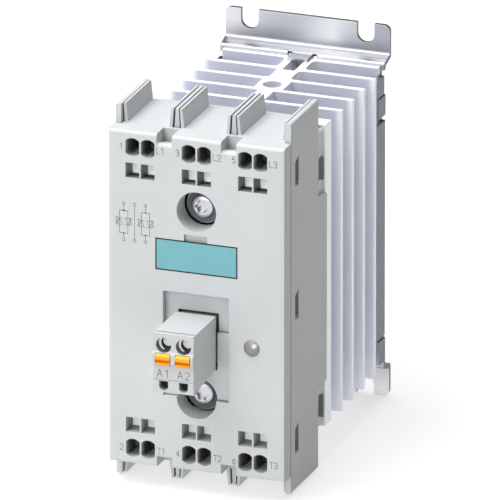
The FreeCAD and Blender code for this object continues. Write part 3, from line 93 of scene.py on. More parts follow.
# The plug's cheeks stand before its face.
CHEEK = 0.7
PLUG_FACE = corners("control_plug_body")[0].y + CHEEK
PLUG_SKIN = (PLUG_FACE, PLUG_FACE + 0.3)
WIRE_HOLES = [middle(f"wire_clamp_{end}") for end in ("a1", "a2")]
WIRE_MOUTH_RADIUS = 1.98
BUTTON_TOP = corners("release_button_a1")[1].z
# Spans of the painted highlight on the top slope and of the painted groove shade.
BUTTON_SLOPE = (BUTTON_TOP - 1.2, BUTTON_TOP - 0.4)
BUTTON_GROOVE = BUTTON_TOP - 1.75
# Place of the painted highlight on the status light, and spans of the highlight and the rim shade.
LENS_HIGHLIGHT_SPOT = middle("status_light_pipe") + Vector((0.9, 0.0, 0.9))
LENS_HIGHLIGHT_SPOT_FADE, LENS_RIM_SHADE_FADE = (0.1, 0.8), (1.9, 3.4)

# Spans of painted shade and highlight on the fins, and of painted light, a highlight and a paler top on the
# sheet.
FIN_TIPS = (20.4, 22.0)
FIN_UPPER_FADE, FIN_TOP_FADE = (6.0, 26.0), (28.0, 46.0)
SHEET_FOOT_FADE, SHEET_HEAD_FADE = (-46.0, -36.0), (41.5, 45.0)
HIGHLIGHT_X, HIGHLIGHT_REACH, HIGHLIGHT_FADE = 6.0, 12.0, (41.0, 43.0)


# ---------------------------------------------------------------- material building blocks


def set_inputs(tree, node, values):
    """Set a node's inputs, or link those that are given as a socket."""
    for key, given in values.items():
        if isinstance(given, bpy.types.NodeSocket):
            tree.links.new(given, node.inputs[key])
        else:
            node.inputs[key].default_value = given


def add(tree, kind, inputs=None, **settings):
    """New shader node with its settings and inputs."""
    made = tree.nodes.new(kind)
    for key, setting in settings.items():
        setattr(made, key, setting)
    set_inputs(tree, made, inputs or {})
    return made


def place(tree, stretch=(1, 1, 1)):
    """Row-frame coordinates in metres, stretched along each axis."""
    coords = add(tree, "ShaderNodeTexCoord")
    mapped = add(tree, "ShaderNodeMapping", {"Vector": coords.outputs["Object"], "Scale": stretch})
    return mapped.outputs["Vector"]


def noise(tree, per_metre, detail, stretch=(1, 1, 1)):
    """Noise of so many features a metre."""
    made = add(
        tree,
        "ShaderNodeTexNoise",
        {"Vector": place(tree, stretch), "Scale": per_metre, "Detail": detail, "Roughness": 0.55},
    )
    return made.outputs["Fac"]


def between(tree, factor, low, high, start=0.3, end=0.7):
    """Number that goes from low to high as the factor goes from start to end."""
    made = add(
        tree,
        "ShaderNodeMapRange",
        {"Value": factor, "From Min": start, "From Max": end, "To Min": low, "To Max": high},
    )
    return made.outputs["Result"]


def rising(tree, distance, start, end):
    """Mask that goes from 0 to 1 between two distances in millimetres."""
    return between(tree, distance, 0.0, 1.0, start * MM, end * MM)


def falling(tree, distance, start, end):
    """Mask that goes from 1 to 0 between two distances in millimetres."""
    return between(tree, distance, 1.0, 0.0, start * MM, end * MM)


def blend_colour(tree, factor, low, high, start=0.3, end=0.7):
    """Colour that goes from low to high as the factor goes from start to end."""
    blend = between(tree, factor, 0.0, 1.0, start, end)
    made = add(tree, "ShaderNodeMix", {"Factor": blend}, data_type="RGBA")
    for socket, colour in ((6, low), (7, high)):
        linked = isinstance(colour, bpy.types.NodeSocket)
        set_inputs(tree, made, {socket: colour if linked else (*colour, 1.0)})
    return made.outputs[2]


def over(tree, masks, colour, cover):
    """Colour with another one over it where every mask is 1."""
    return blend_colour(tree, every(tree, masks), colour, cover, 0.0, 1.0)


def bump(tree, height, depth, strength, under):
    """Bump of a depth in millimetres over another normal."""
    inputs = {"Height": height, "Distance": depth * MM, "Strength": strength, "Normal": under}
    return add(tree, "ShaderNodeBump", inputs).outputs["Normal"]


def rounded(tree, radius):
    """Normal that rounds sharp edges to a radius in millimetres."""
    made = add(tree, "ShaderNodeBevel", {"Radius": radius * MM}, samples=6)
    return made.outputs["Normal"]


def sheltered(tree, reach, start, end):
    """Mask that is 0 deep in openings narrower than the reach in millimetres, and 1 in the open."""
    made = add(tree, "ShaderNodeAmbientOcclusion", {"Distance": reach * MM}, samples=8)
    return between(tree, made.outputs["AO"], 0.0, 1.0, start, end)


def math_node(tree, operation, first, second=0.0):
    """Result of one math operation."""
    return add(tree, "ShaderNodeMath", {0: first, 1: second}, operation=operation).outputs[0]


def component(tree, vector, axis):
    """One component of a vector."""
    return add(tree, "ShaderNodeSeparateXYZ", {"Vector": vector}).outputs[axis]


def size_of(tree, vector, axis):
    """Size of one component of a vector, without its sign."""
    return math_node(tree, "ABSOLUTE", component(tree, vector, axis))


def offset(tree, axis, origin=0.0):
    """Distance along one axis from a place given in millimetres."""
    away = math_node(tree, "SUBTRACT", component(tree, place(tree), axis), origin * MM)
    return math_node(tree, "ABSOLUTE", away)


def from_line(tree, x, z):
    """Distance from the line along Y through (x, z), which is given in millimetres."""
    inputs = {0: place(tree, (1, 0, 1)), 1: (x * MM, 0.0, z * MM)}
    return add(tree, "ShaderNodeVectorMath", inputs, operation="DISTANCE").outputs["Value"]


def within(tree, axis, low, high):
    """Mask that is 1 where a coordinate's size lies between two values in millimetres."""
    away = math_node(tree, "SUBTRACT", offset(tree, axis), (low + high) / 2 * MM)
    half, fade = (high - low) / 2, 0.05
    return falling(tree, math_node(tree, "ABSOLUTE", away), half - fade, half + fade)


def every(tree, masks):
    """Product of masks."""
    product = masks[0]
    for mask in masks[1:]:
        product = math_node(tree, "MULTIPLY", product, mask)
    return product


def new_material(name):
    """Empty material with its shader and output."""
    material = bpy.data.materials.new(name)
    material.use_nodes = True
    tree = material.node_tree
    tree.nodes.clear()
    shader = add(tree, "ShaderNodeBsdfPrincipled")
    add(tree, "ShaderNodeOutputMaterial", {"Surface": shader.outputs["BSDF"]})
    return material, tree, shader


# ---------------------------------------------------------------- kinds of finish

PLASTIC_CLOUD = 95
PLASTIC_GRAIN = 5200
METAL_CLOUD = 140


def moulded(name, low, high, roughness, depth=0.006, edge=0.16, fixed=None, deep=None, shading=None):
    """Moulded plastic: faint cloudiness, spark-eroded grain, softened edges and painted shade in recesses."""
    material, tree, shader = new_material(name)
    cloud = noise(tree, PLASTIC_CLOUD, 3.0)
    fine = noise(tree, PLASTIC_GRAIN, 2.5)
    colour = blend_colour(tree, cloud, low, high)
    # Painted shade: recesses darken towards the given colour.
    if deep:
        colour = over(tree, [sheltered(tree, reach=5.0, start=0.03, end=0.31)], deep, colour)
    if shading:
        colour = shading(tree, colour)
    set_inputs(
        tree,
        shader,
        {
            "Base Color": colour,
            "Roughness": between(tree, fine, *roughness),
            "Normal": bump(tree, fine, depth, 0.55, rounded(tree, edge)),
            **(fixed or {}),
        },
    )
    return material


def metal(tree, shader, colour, roughness, lines, depth, soft, metallic=1.0):
    """Give a metal's shader its colour, and its roughness and bump from fine lines."""
    set_inputs(
        tree,
        shader,
        {
            "Base Color": colour,
            "Roughness": between(tree, lines, *roughness),
            "Metallic": metallic,
            "Normal": bump(tree, lines, depth, 0.6, soft),
        },
    )


def rolled(name, low, high, roughness, stretch, per_metre=900, depth=0.004, edge=0.12):
    """Metal with fine lines along one direction and a cloudy finish."""
    material, tree, shader = new_material(name)
    lines = noise(tree, per_metre, 3.0, stretch)
    colour = blend_colour(tree, noise(tree, METAL_CLOUD, 3.0), low, high)
    metal(tree, shader, colour, roughness, lines, depth, rounded(tree, edge))
    return material


# ---------------------------------------------------------------- painted light and shade of single parts

# Colours of painted light and shade on single parts.
WELL_PAINTED_LIGHT = (0.580, 0.603, 0.598)
SIDE_SHADE_GREYS = ((0.395, 0.406, 0.415), (0.412, 0.424, 0.433))
SEAM_SHADE = (0.090, 0.094, 0.096)
CONDUCTOR_HOLE_SHADE = (0.105, 0.116, 0.114)
LEVER_OPENING_SHADE = (0.185, 0.210, 0.204)
WIRE_HOLE_SHADE = (0.115, 0.130, 0.126)
SLOPE_HIGHLIGHT = (1.000, 0.470, 0.016)
GROOVE_SHADE = (0.720, 0.130, 0.003)
LENS_HIGHLIGHT_GREY = (0.900, 0.890, 0.900)
LENS_RIM_SHADE = (0.130, 0.125, 0.130)


def housing_shading(tree, colour):
    """Painted light in the screw wells, painted shade on the side walls and in the seam between the shells,
    and painted shade in the openings.
    """
    depth = component(tree, place(tree), "Y")
    inside = rising(tree, depth, *FACE_SKIN)
    # Painted light: the screw wells are painted lighter than the housing.
    for height in WELL_HEIGHTS:
        well = falling(tree, from_line(tree, 0.0, height), WELL_RADIUS, WELL_RADIUS + 0.1)
        colour = over(tree, (inside, well), colour, WELL_PAINTED_LIGHT)

    # Painted shade: the side walls are painted a darker grey than the front.
    across = offset(tree, "X")
    normal = add(tree, "ShaderNodeNewGeometry").outputs["Normal"]
    sideways = between(tree, size_of(tree, normal, "X"), 0.0, 1.0, 0.4, 0.8)
    wall = every(tree, (rising(tree, across, *WALL_SKIN), sideways))
    side_shade = blend_colour(tree, noise(tree, PLASTIC_CLOUD, 3.0), *SIDE_SHADE_GREYS)
    colour = over(tree, [wall], colour, side_shade)
    # Painted shade in the seam between the two shells.
    seam = falling(tree, offset(tree, "Y", SEAM), *SEAM_FADE)
    colour = over(tree, (seam, wall), colour, SEAM_SHADE)

    # Painted shade in the conductor holes, darker further in, and in the upper lever openings.
    from_pole = math_node(tree, "PINGPONG", across, HALF_PITCH * MM)
    opening = falling(tree, from_pole, OPENING_REACH, OPENING_REACH + 0.1)
    front = within(tree, "Y", -FACE - OPENING_DEPTH, -FACE + 1.0)
    deeper = rising(tree, depth, *HOLE_FADE)
    conductor_hole = (deeper, front, opening, within(tree, "Z", *CONDUCTOR_ROWS))
    colour = over(tree, conductor_hole, colour, CONDUCTOR_HOLE_SHADE)
    upper = rising(tree, component(tree, place(tree), "Z"), 0.0, 1.0)
    lever_opening = (inside, front, opening, upper, within(tree, "Z", *LEVER_ROWS))
    return over(tree, lever_opening, colour, LEVER_OPENING_SHADE)


def plug_shading(tree, colour):
    """Shaded walls of the wire holes."""
    inside = rising(tree, component(tree, place(tree), "Y"), *PLUG_SKIN)
    for hole in WIRE_HOLES:
        away = from_line(tree, hole.x, hole.z)
        mouth = falling(tree, away, WIRE_MOUTH_RADIUS, WIRE_MOUTH_RADIUS + 0.06)
        colour = over(tree, (mouth, inside), colour, WIRE_HOLE_SHADE)
    return colour


def button_shading(tree, colour):
    """Painted highlight on the top slope, and painted shade of a groove across a button."""
    height = component(tree, place(tree), "Z")
    colour = over(tree, [rising(tree, height, *BUTTON_SLOPE)], colour, SLOPE_HIGHLIGHT)
    groove = falling(tree, offset(tree, "Z", BUTTON_GROOVE), 0.22, 0.48)
    return over(tree, [groove], colour, GROOVE_SHADE)


def lens_shading(tree, colour):
    """Painted highlight on the status light towards its upper right, and a painted shaded rim opposite."""
    away = from_line(tree, LENS_HIGHLIGHT_SPOT.x, LENS_HIGHLIGHT_SPOT.z)
    colour = over(tree, [falling(tree, away, *LENS_HIGHLIGHT_SPOT_FADE)], colour, LENS_HIGHLIGHT_GREY)
    return over(tree, [rising(tree, away, *LENS_RIM_SHADE_FADE)], colour, LENS_RIM_SHADE)


# FIN_SKIN is the extrusion's own colour; the others paint shade and a highlight.
FIN_SKIN = ((0.820, 0.840, 0.960), (0.850, 0.870, 0.980))
FIN_UPPER_SHADE = (0.720, 0.735, 0.840)
FIN_TOP_SHADE = (0.450, 0.465, 0.565)
FIN_HIGHLIGHT = (0.950, 0.955, 0.975)


def extruded(name):
    """Light anodised extrusion with painted shade towards its top, and a painted highlight on its cut ends
    and fin tips.
    """
    material, tree, shader = new_material(name)
    lines = noise(tree, 2600, 3.0, (1, 1, 0.04))
    soft = rounded(tree, 0.3)
    height = component(tree, place(tree), "Z")
    skin = blend_colour(tree, noise(tree, METAL_CLOUD, 3.0), *FIN_SKIN)
    # Painted shade: the fins darken towards the top.
    skin = over(tree, [rising(tree, height, *FIN_UPPER_FADE)], skin, FIN_UPPER_SHADE)
    skin = over(tree, [rising(tree, height, *FIN_TOP_FADE)], skin, FIN_TOP_SHADE)
    # Painted highlight on the fin tips.
    skin = over(tree, [rising(tree, offset(tree, "X"), *FIN_TIPS)], skin, FIN_HIGHLIGHT)
    # Painted highlight on every face that does not face along Y, the cut ends and fin edges among them.
    colour = blend_colour(tree, size_of(tree, soft, "Y"), FIN_HIGHLIGHT, skin, 0.45, 0.95)
    metal(tree, shader, colour, (0.46, 0.58), lines, 0.006, soft, metallic=0.15)
    return material


# SHEET_FLAT is the sheet's own colour and SHEET_HEAD a paler top; the others paint light, a highlight and
# shade.
SHEET_FLAT = ((0.450, 0.460, 0.490), (0.510, 0.520, 0.550))
SHEET_FOOT_LIGHT = (0.900, 0.910, 0.920)
SHEET_HEAD = (0.690, 0.700, 0.735)
SHEET_HIGHLIGHT = (0.860, 0.870, 0.885)
SHEET_BEND_SHADES = ((0.230, 0.230, 0.250), (0.420, 0.420, 0.440))
SHEET_SIDE_SHADE = (0.110, 0.125, 0.155)


def bent_sheet(name):
    """Rolled steel sheet: painted light at its foot, a paler top with a painted highlight, and painted shade
    on its bends and folded sides.
    """
    material, tree, shader = new_material(name)
    lines = noise(tree, 1800, 3.0, (0.03, 1, 1))
    soft = rounded(tree, 0.2)
    height = component(tree, place(tree), "Z")
    colour = blend_colour(tree, noise(tree, METAL_CLOUD, 3.0), *SHEET_FLAT)
    # Painted light: the foot is painted paler.
    colour = over(tree, [falling(tree, height, *SHEET_FOOT_FADE)], colour, SHEET_FOOT_LIGHT)
    colour = over(tree, [rising(tree, height, *SHEET_HEAD_FADE)], colour, SHEET_HEAD)
    # Painted highlight across the top flange.
    beside_highlight = falling(tree, offset(tree, "X", HIGHLIGHT_X), 0.0, HIGHLIGHT_REACH)
    colour = over(tree, (beside_highlight, rising(tree, height, *HIGHLIGHT_FADE)), colour, SHEET_HIGHLIGHT)
    # Painted shade on the bends and other faces turned up or down, and on the folded sides.
    bends = blend_colour(tree, lines, *SHEET_BEND_SHADES)
    colour = blend_colour(tree, size_of(tree, soft, "Z"), colour, bends, 0.15, 0.5)
    colour = blend_colour(tree, size_of(tree, soft, "X"), colour, SHEET_SIDE_SHADE, 0.45, 0.9)
    metal(tree, shader, colour, (0.30, 0.42), lines, 0.0012, soft)
    return material


# ---------------------------------------------------------------- the record's finishes

# Painted light: light parts in the openings are given a faint glow, standing in for light that hardly reaches
# them.
PAINTED_GLOW = {"Emission Color": (0.82, 0.84, 0.84, 1.0), "Emission Strength": 0.32}

MATERIALS = {
    "housing_grey": moulded(
        "housing_grey",
        (0.518, 0.536, 0.543),
        (0.540, 0.557, 0.565),
        (0.48, 0.60),
        # Painted shade in the housing's recesses.
        deep=(0.125, 0.137, 0.135),
        shading=housing_shading,
    ),
    "plug_grey": moulded(
        "plug_grey",
        (0.495, 0.508, 0.514),
        (0.515, 0.528, 0.534),
        (0.42, 0.52),
        # Painted shade in the plug's recesses.
        deep=(0.070, 0.075, 0.072),
        shading=plug_shading,
    ),
    "label_turquoise": moulded(
        "label_turquoise", (0.145, 0.385, 0.425), (0.157, 0.405, 0.445), (0.34, 0.44), depth=0.003
    ),
    "button_orange": moulded(
        "button_orange",
        (0.900, 0.350, 0.006),
        (0.930, 0.385, 0.010),
        (0.38, 0.46),
        depth=0.002,
        edge=0.08,
        fixed={"Specular IOR Level": 0.3},
        # Painted shade in the button's recesses.
        deep=(0.600, 0.100, 0.004),
        shading=button_shading,
    ),
    "light_grey_lens": moulded(
        "light_grey_lens",
        (0.222, 0.213, 0.222),
        (0.246, 0.237, 0.246),
        (0.30, 0.36),
        depth=0.0005,
        fixed={"Coat Weight": 0.4, "Coat Roughness": 0.10, "IOR": 1.49},
        shading=lens_shading,
    ),
    "collar_dark": moulded("collar_dark", (0.100, 0.122, 0.122), (0.120, 0.145, 0.145), (0.5, 0.6)),
    "latch_black": moulded("latch_black", (0.018, 0.018, 0.020), (0.028, 0.028, 0.031), (0.42, 0.55)),
    "socket_green": moulded("socket_green", (0.050, 0.066, 0.058), (0.062, 0.080, 0.072), (0.4, 0.5)),
    "board_green": moulded("board_green", (0.010, 0.070, 0.028), (0.016, 0.095, 0.040), (0.3, 0.4)),
    "chip_black": moulded("chip_black", (0.016, 0.016, 0.017), (0.024, 0.024, 0.025), (0.45, 0.6)),
    "capacitor_yellow": moulded("capacitor_yellow", (0.52, 0.33, 0.03), (0.58, 0.38, 0.04), (0.3, 0.4)),
    "varistor_blue": moulded("varistor_blue", (0.01, 0.03, 0.16), (0.02, 0.04, 0.20), (0.2, 0.3)),
    "pad_grey": moulded("pad_grey", (0.26, 0.26, 0.26), (0.31, 0.31, 0.31), (0.6, 0.75)),
    "ceramic_white": moulded("ceramic_white", (0.78, 0.78, 0.76), (0.83, 0.83, 0.81), (0.25, 0.4)),
    # Painted light: the levers glow a little.
    "lever_white": moulded(
        "lever_white", (0.90, 0.91, 0.91), (0.93, 0.94, 0.94), (0.45, 0.55), fixed=PAINTED_GLOW
    ),
    "zinc_steel": rolled(
        "zinc_steel",
        (0.56, 0.55, 0.59),
        (0.62, 0.61, 0.65),
        (0.26, 0.32),
        (1, 1, 1),
        per_metre=500,
        depth=0.0004,
        edge=0.05,
    ),
    "spring_steel": rolled("spring_steel", (0.80, 0.82, 0.82), (0.86, 0.88, 0.88), (0.42, 0.5), (1, 0.1, 1)),
    "contact_brass": rolled("contact_brass", (0.72, 0.52, 0.22), (0.80, 0.60, 0.28), (0.2, 0.3), (1, 0.1, 1)),
    "tinned_copper": rolled("tinned_copper", (0.46, 0.46, 0.46), (0.56, 0.56, 0.55), (0.3, 0.4), (1, 1, 0.1)),
    "plate_steel": bent_sheet("plate_steel"),
    "sink_aluminium": extruded("sink_aluminium"),
}


def paint_nodes():
    """Give every CAD node the finish that the record names for it."""
    for part in frame["record"]["subparts"]:
        mesh = frame["nodes"][part["node"]].data
        material = MATERIALS[part["material_slot"]]
        if not mesh.materials:
            mesh.materials.append(material)
        for index in range(len(mesh.materials)):
            mesh.materials[index] = material


# ---------------------------------------------------------------- mesh building blocks, in mm


def arc(x, y, radius_x, radius_y, start, end, steps=8):
    """Points along part of an ellipse, angles in degrees."""
    points = []
    for step in range(steps + 1):
        turn = math.radians(start + (end - start) * step / steps)
        points.append((x + radius_x * math.cos(turn), y + radius_y * math.sin(turn)))
    return points


def points_at(mesh, points, level):
    """Vertices at points (X, Z) on a level Y."""
    return [mesh.verts.new((x * MM, level * MM, z * MM)) for x, z in points]


def circle(mesh, x, z, radius, level):
    """Ring of vertices around (x, z)."""
    return points_at(mesh, arc(x, z, radius, radius, 0, 360, 32)[:-1], level)


def bridge(mesh, first, second, closed=False):
    """Faces between two rows of vertices."""
    count = len(first)
    for i in range(count if closed else count - 1):
        following = (i + 1) % count
        mesh.faces.new((first[i], first[following], second[following], second[i]))


def slab(mesh, low, high):
    """Box between two corners."""
    vertices = [
        mesh.verts.new((x * MM, y * MM, z * MM))
        for x in (low[0], high[0])
        for y in (low[1], high[1])
        for z in (low[2], high[2])
    ]
    for face in ((0, 1, 3, 2), (4, 6, 7, 5), (0, 4, 5, 1), (2, 3, 7, 6), (0, 2, 6, 4), (1, 5, 7, 3)):
        mesh.faces.new([vertices[i] for i in face])


def finish_piece(mesh, name, material, body):
    """Turn mesh code into a piece that rides a body."""
    bmesh.ops.recalc_face_normals(mesh, faces=mesh.faces)
    data = bpy.data.meshes.new(name)
    mesh.to_mesh(data)
    mesh.free()
    piece = bpy.data.objects.new(name, data)
    data.materials.append(material)
    bpy.context.scene.collection.objects.link(piece)
    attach(piece, body)


# ---------------------------------------------------------------- printed marks, in mm

INK_THICKNESS = 0.012
NUMBER_STYLE = {"high": 1.55, "pitch": 1.25, "width": 0.14}
CODE_STYLE = {"high": 1.6, "pitch": 1.12, "width": 0.14}
PLUG_STYLE = {"high": 1.95, "pitch": 1.85, "width": 0.15}
UPPER_ROW, LOWER_NUMBERS, LOWER_CODES = 38.6, -38.7, -38.65
NUMBER_X, UPPER_CODE_X, LOWER_CODE_X = -4.85, 5.2, 5.35
PLUG_NAMES = {"A1": -3.05, "A2": 2.2}
PLUG_ROW = -12.55

DIAGRAM_X = (-18.66, -15.85, -13.05)
DIAGRAM_TOP, DIAGRAM_END = 24.05, 14.78
RING_RADIUS = 0.36
RING_LINE = 0.11
DOT_RADIUS = 0.1
WIRE_LINE = 0.12
SYMBOL_LINE = 0.1
GATE_LINE = 0.14
SWITCH_HALF_WIDTH = 1.07
SWITCH_TOP, SWITCH_MIDDLE, SWITCH_END = 22.25, 19.4, 16.45
ARROW_HALF_WIDTH, ARROW_HALF_HEIGHT = 0.75, 0.85
GATE_NEAR, GATE_FAR = 0.45, 0.95

# Single strokes in a box one unit high, with its middle at (0, 0).
GLYPHS = {
    "1": [[(-0.18, 0.28), (0.06, 0.5), (0.06, -0.5)]],
    "2": [arc(0, 0.22, 0.27, 0.28, 165, -35) + [(-0.27, -0.5), (0.29, -0.5)]],
    "3": [arc(0, 0.25, 0.25, 0.25, 150, -90), arc(0, -0.25, 0.28, 0.25, 90, -150)],
    "4": [[(0.12, -0.5), (0.12, 0.5), (-0.3, -0.2), (0.3, -0.2)]],
    "5": [[(0.24, 0.5), (-0.2, 0.5), (-0.24, 0.06)] + arc(0, -0.18, 0.28, 0.32, 130, -145)],
    "6": [[(0.2, 0.5)] + arc(0, -0.2, 0.28, 0.3, 140, 220, 3) + arc(0, -0.2, 0.28, 0.3, 230, 500, 12)],
    "L": [[(-0.22, 0.5), (-0.22, -0.5), (0.26, -0.5)]],
    "T": [[(-0.3, 0.5), (0.3, 0.5)], [(0, 0.5), (0, -0.5)]],
    "A": [[(-0.32, -0.5), (0, 0.5), (0.32, -0.5)], [(-0.21, -0.14), (0.21, -0.14)]],
}


def ribbon(mesh, points, width, level, closed=False):
    """Flat line of a width through points (X, Z), with its front face on a level Y."""
    count = len(points)
    for index in range(count if closed else count - 1):
        a, b = Vector(points[index]), Vector(points[(index + 1) % count])
        run = (b - a).normalized() * width / 2
        side = Vector((-run.y, run.x))
        outline = [a - run - side, b + run - side, b + run + side, a - run + side]
        front = points_at(mesh, outline, level)
        back = points_at(mesh, outline, level + INK_THICKNESS)
        mesh.faces.new(front)
        bridge(mesh, front, back, closed=True)


def write(mesh, text, x, z, level, high, pitch, width):
    """Single-stroke lettering with its middle at (x, z)."""
    start = x - pitch * (len(text) - 1) / 2
    for index, letter in enumerate(text):
        for stroke in GLYPHS[letter]:
            points = [(start + index * pitch + a * high, z + b * high) for a, b in stroke]
            ribbon(mesh, points, width, level)


def build_terminal_numbers(ink):
    """Numbers and codes of the six main terminals, on the cover."""
    level = FACE - INK_THICKNESS
    marks = bmesh.new()
    for pole, x in enumerate(POLES):
        write(marks, str(2 * pole + 1), x + NUMBER_X, UPPER_ROW, level, **NUMBER_STYLE)
        write(marks, f"L{pole + 1}", x + UPPER_CODE_X, UPPER_ROW, level, **CODE_STYLE)
        write(marks, str(2 * pole + 2), x + NUMBER_X, LOWER_NUMBERS, level, **NUMBER_STYLE)
        write(marks, f"T{pole + 1}", x + LOWER_CODE_X, LOWER_CODES, level, **CODE_STYLE)
    finish_piece(marks, "terminal_numbers", ink, "relay")


def build_diagram(ink):
    """Circuit diagram on the cover: two switched poles with a straight one between them."""
    level = FACE - INK_THICKNESS
    diagram = bmesh.new()
    for x in DIAGRAM_X:
        for z in (DIAGRAM_TOP, DIAGRAM_END):
            ring = arc(x, z, RING_RADIUS, RING_RADIUS, 0, 330, 11)
            ribbon(diagram, ring, RING_LINE, level, closed=True)
    first, straight, last = DIAGRAM_X
    upper, lower = DIAGRAM_TOP - RING_RADIUS, DIAGRAM_END + RING_RADIUS
    ribbon(diagram, [(straight, upper), (straight, lower)], WIRE_LINE, level)
    for x in (first, last):
        for end, edge in ((upper, SWITCH_TOP), (lower, SWITCH_END)):
            ribbon(diagram, [(x, end), (x, edge)], WIRE_LINE, level)
            dot = arc(x, edge, DOT_RADIUS, DOT_RADIUS, 0, 300, 5)
            ribbon(diagram, dot, 2 * DOT_RADIUS, level, closed=True)
        draw_switch(diagram, x, level)
    finish_piece(diagram, "circuit_diagram", ink, "relay")


def draw_switch(mesh, x, level):
    """Box with a thyristor in each side, the two back to back."""
    left, right = x - SWITCH_HALF_WIDTH, x + SWITCH_HALF_WIDTH
    box = [(left, SWITCH_END), (right, SWITCH_END), (right, SWITCH_TOP), (left, SWITCH_TOP)]
    ribbon(mesh, box, WIRE_LINE, level, closed=True)
    z = SWITCH_MIDDLE
    for side, wire in ((-1, left), (1, right)):
        tip, base = z - side * ARROW_HALF_HEIGHT, z + side * ARROW_HALF_HEIGHT
        low_x, high_x = wire - ARROW_HALF_WIDTH, wire + ARROW_HALF_WIDTH
        ribbon(mesh, [(low_x, base), (high_x, base), (wire, tip)], SYMBOL_LINE, level, closed=True)
        ribbon(mesh, [(low_x, tip), (high_x, tip)], SYMBOL_LINE, level)
        near, far = wire + side * GATE_NEAR, wire + side * GATE_FAR
        ribbon(mesh, [(near, z + 0.95), (far, z + 0.95)], GATE_LINE, level)
        gate = [(far, z + 0.5), (near, z + 0.2), (far, z - 0.4), (near, z - 0.6)]
        ribbon(mesh, gate, GATE_LINE, level)


def build_plug_names(ink):
    """Terminal names on the control plug."""
    names = bmesh.new()
    for text, x in PLUG_NAMES.items():
        write(names, text, x, PLUG_ROW, PLUG_FACE - INK_THICKNESS, **PLUG_STYLE)
    finish_piece(names, "plug_terminal_names", ink, "control_plug")


# ---------------------------------------------------------------- pieces of painted light and shade, in mm

LABEL_GAP = 0.16
LABEL_GAP_WIDTH = 0.34
SHADE_INSET = 0.12
SHADE_THICKNESS = 0.06
WINDOW_INSET = 1.38
WINDOW_HEIGHTS, WINDOW_REAR = (-34.3, 0.0, 34.3), -69.42
WINDOW_BELOW, WINDOW_ABOVE = 3.05, 3.6
CATCH_HEIGHTS, CATCH_REAR = (-32.8, 28.45), -51.49
CATCH_HALF_HEIGHT = 3.0
FOOT_HALF_WIDTH, FOOT_NOTCH = 1.7, 0.35
FOOT_FRONT, FOOT_REAR = -76.35, -75.42
FOOT_BOTTOM, FOOT_TOP = 30.82, 30.9
SHADOW_FRONT, SHADOW_REAR, SHADOW_TOP = -78.0, -76.37, 30.86
PROBE_HALF_WIDTH = 1.1
PROBE_BOTTOM, PROBE_TOP = -16.85, -14.55
PROBE_DEPTH, PROBE_END = 2.2, 2.4
CAGE_DEPTH, CAGE_RADIUS, CAGE_ARC = 1.84, 1.9, (105, 245)
CAGE_INNER_RADIUS, CAGE_INNER_SHIFT = 1.82, 0.5
STOP_DEPTH, STOP_RADIUS = 3.3, 1.3
TUBE_RADIUS = 1.34


def build_label_gap(dark):
    """Painted shade: a dark line laid over the gap round the label plate."""
    plate_low, plate_high = corners("label_plate")
    left, right = plate_low.x - LABEL_GAP, plate_high.x + LABEL_GAP
    low, high = plate_low.z - LABEL_GAP, plate_high.z + LABEL_GAP
    outline = [(left, low), (right, low), (right, high), (left, high)]
    gap = bmesh.new()
    ribbon(gap, outline, LABEL_GAP_WIDTH, FACE - INK_THICKNESS, closed=True)
    finish_piece(gap, "label_gap_shade", dark, "relay")


def build_window_shades(shade):
    """Painted shade: dark slabs at the rear edges of the side windows and of the catch windows."""
    windows = bmesh.new()
    for side in (-1, 1):
        left, right = sorted(side * (HALF_WIDTH - inset) for inset in (WINDOW_INSET, SHADE_INSET))
        for z in WINDOW_HEIGHTS:
            low = (left, WINDOW_REAR - SHADE_THICKNESS, z - WINDOW_BELOW)
            slab(windows, low, (right, WINDOW_REAR, z + WINDOW_ABOVE))
        for z in CATCH_HEIGHTS:
            low = (left, CATCH_REAR - SHADE_THICKNESS, z - CATCH_HALF_HEIGHT)
            slab(windows, low, (right, CATCH_REAR, z + CATCH_HALF_HEIGHT))
    finish_piece(windows, "window_shade", shade, "relay")


def build_lever_feet(light, dark):
    """Thin light strips at the feet of the release levers, glowing as painted light, and a slab of painted
    shadow in front of each foot.
    """
    feet, shadows = bmesh.new(), bmesh.new()
    for pole in POLES:
        for middle_x in (pole - OPENING_OFFSET, pole + OPENING_OFFSET):
            left, right = middle_x - FOOT_HALF_WIDTH, middle_x + FOOT_HALF_WIDTH
            slab(feet, (left + FOOT_NOTCH, FOOT_FRONT, FOOT_BOTTOM), (right, FOOT_REAR, FOOT_TOP))
            slab(shadows, (left, SHADOW_FRONT, FOOT_BOTTOM), (right, SHADOW_REAR, SHADOW_TOP))
    finish_piece(feet, "lever_feet", light, "relay")
    finish_piece(shadows, "lever_foot_shadow", dark, "relay")


def build_probe_shades(dark):
    """Painted shade: dark slabs in the depths of the plug's test openings."""
    probes = bmesh.new()
    for hole in WIRE_HOLES:
        low = (hole.x - PROBE_HALF_WIDTH, PLUG_FACE + PROBE_DEPTH, PROBE_BOTTOM)
        slab(probes, low, (hole.x + PROBE_HALF_WIDTH, PLUG_FACE + PROBE_END, PROBE_TOP))
    finish_piece(probes, "test_opening_shade", dark, "control_plug")


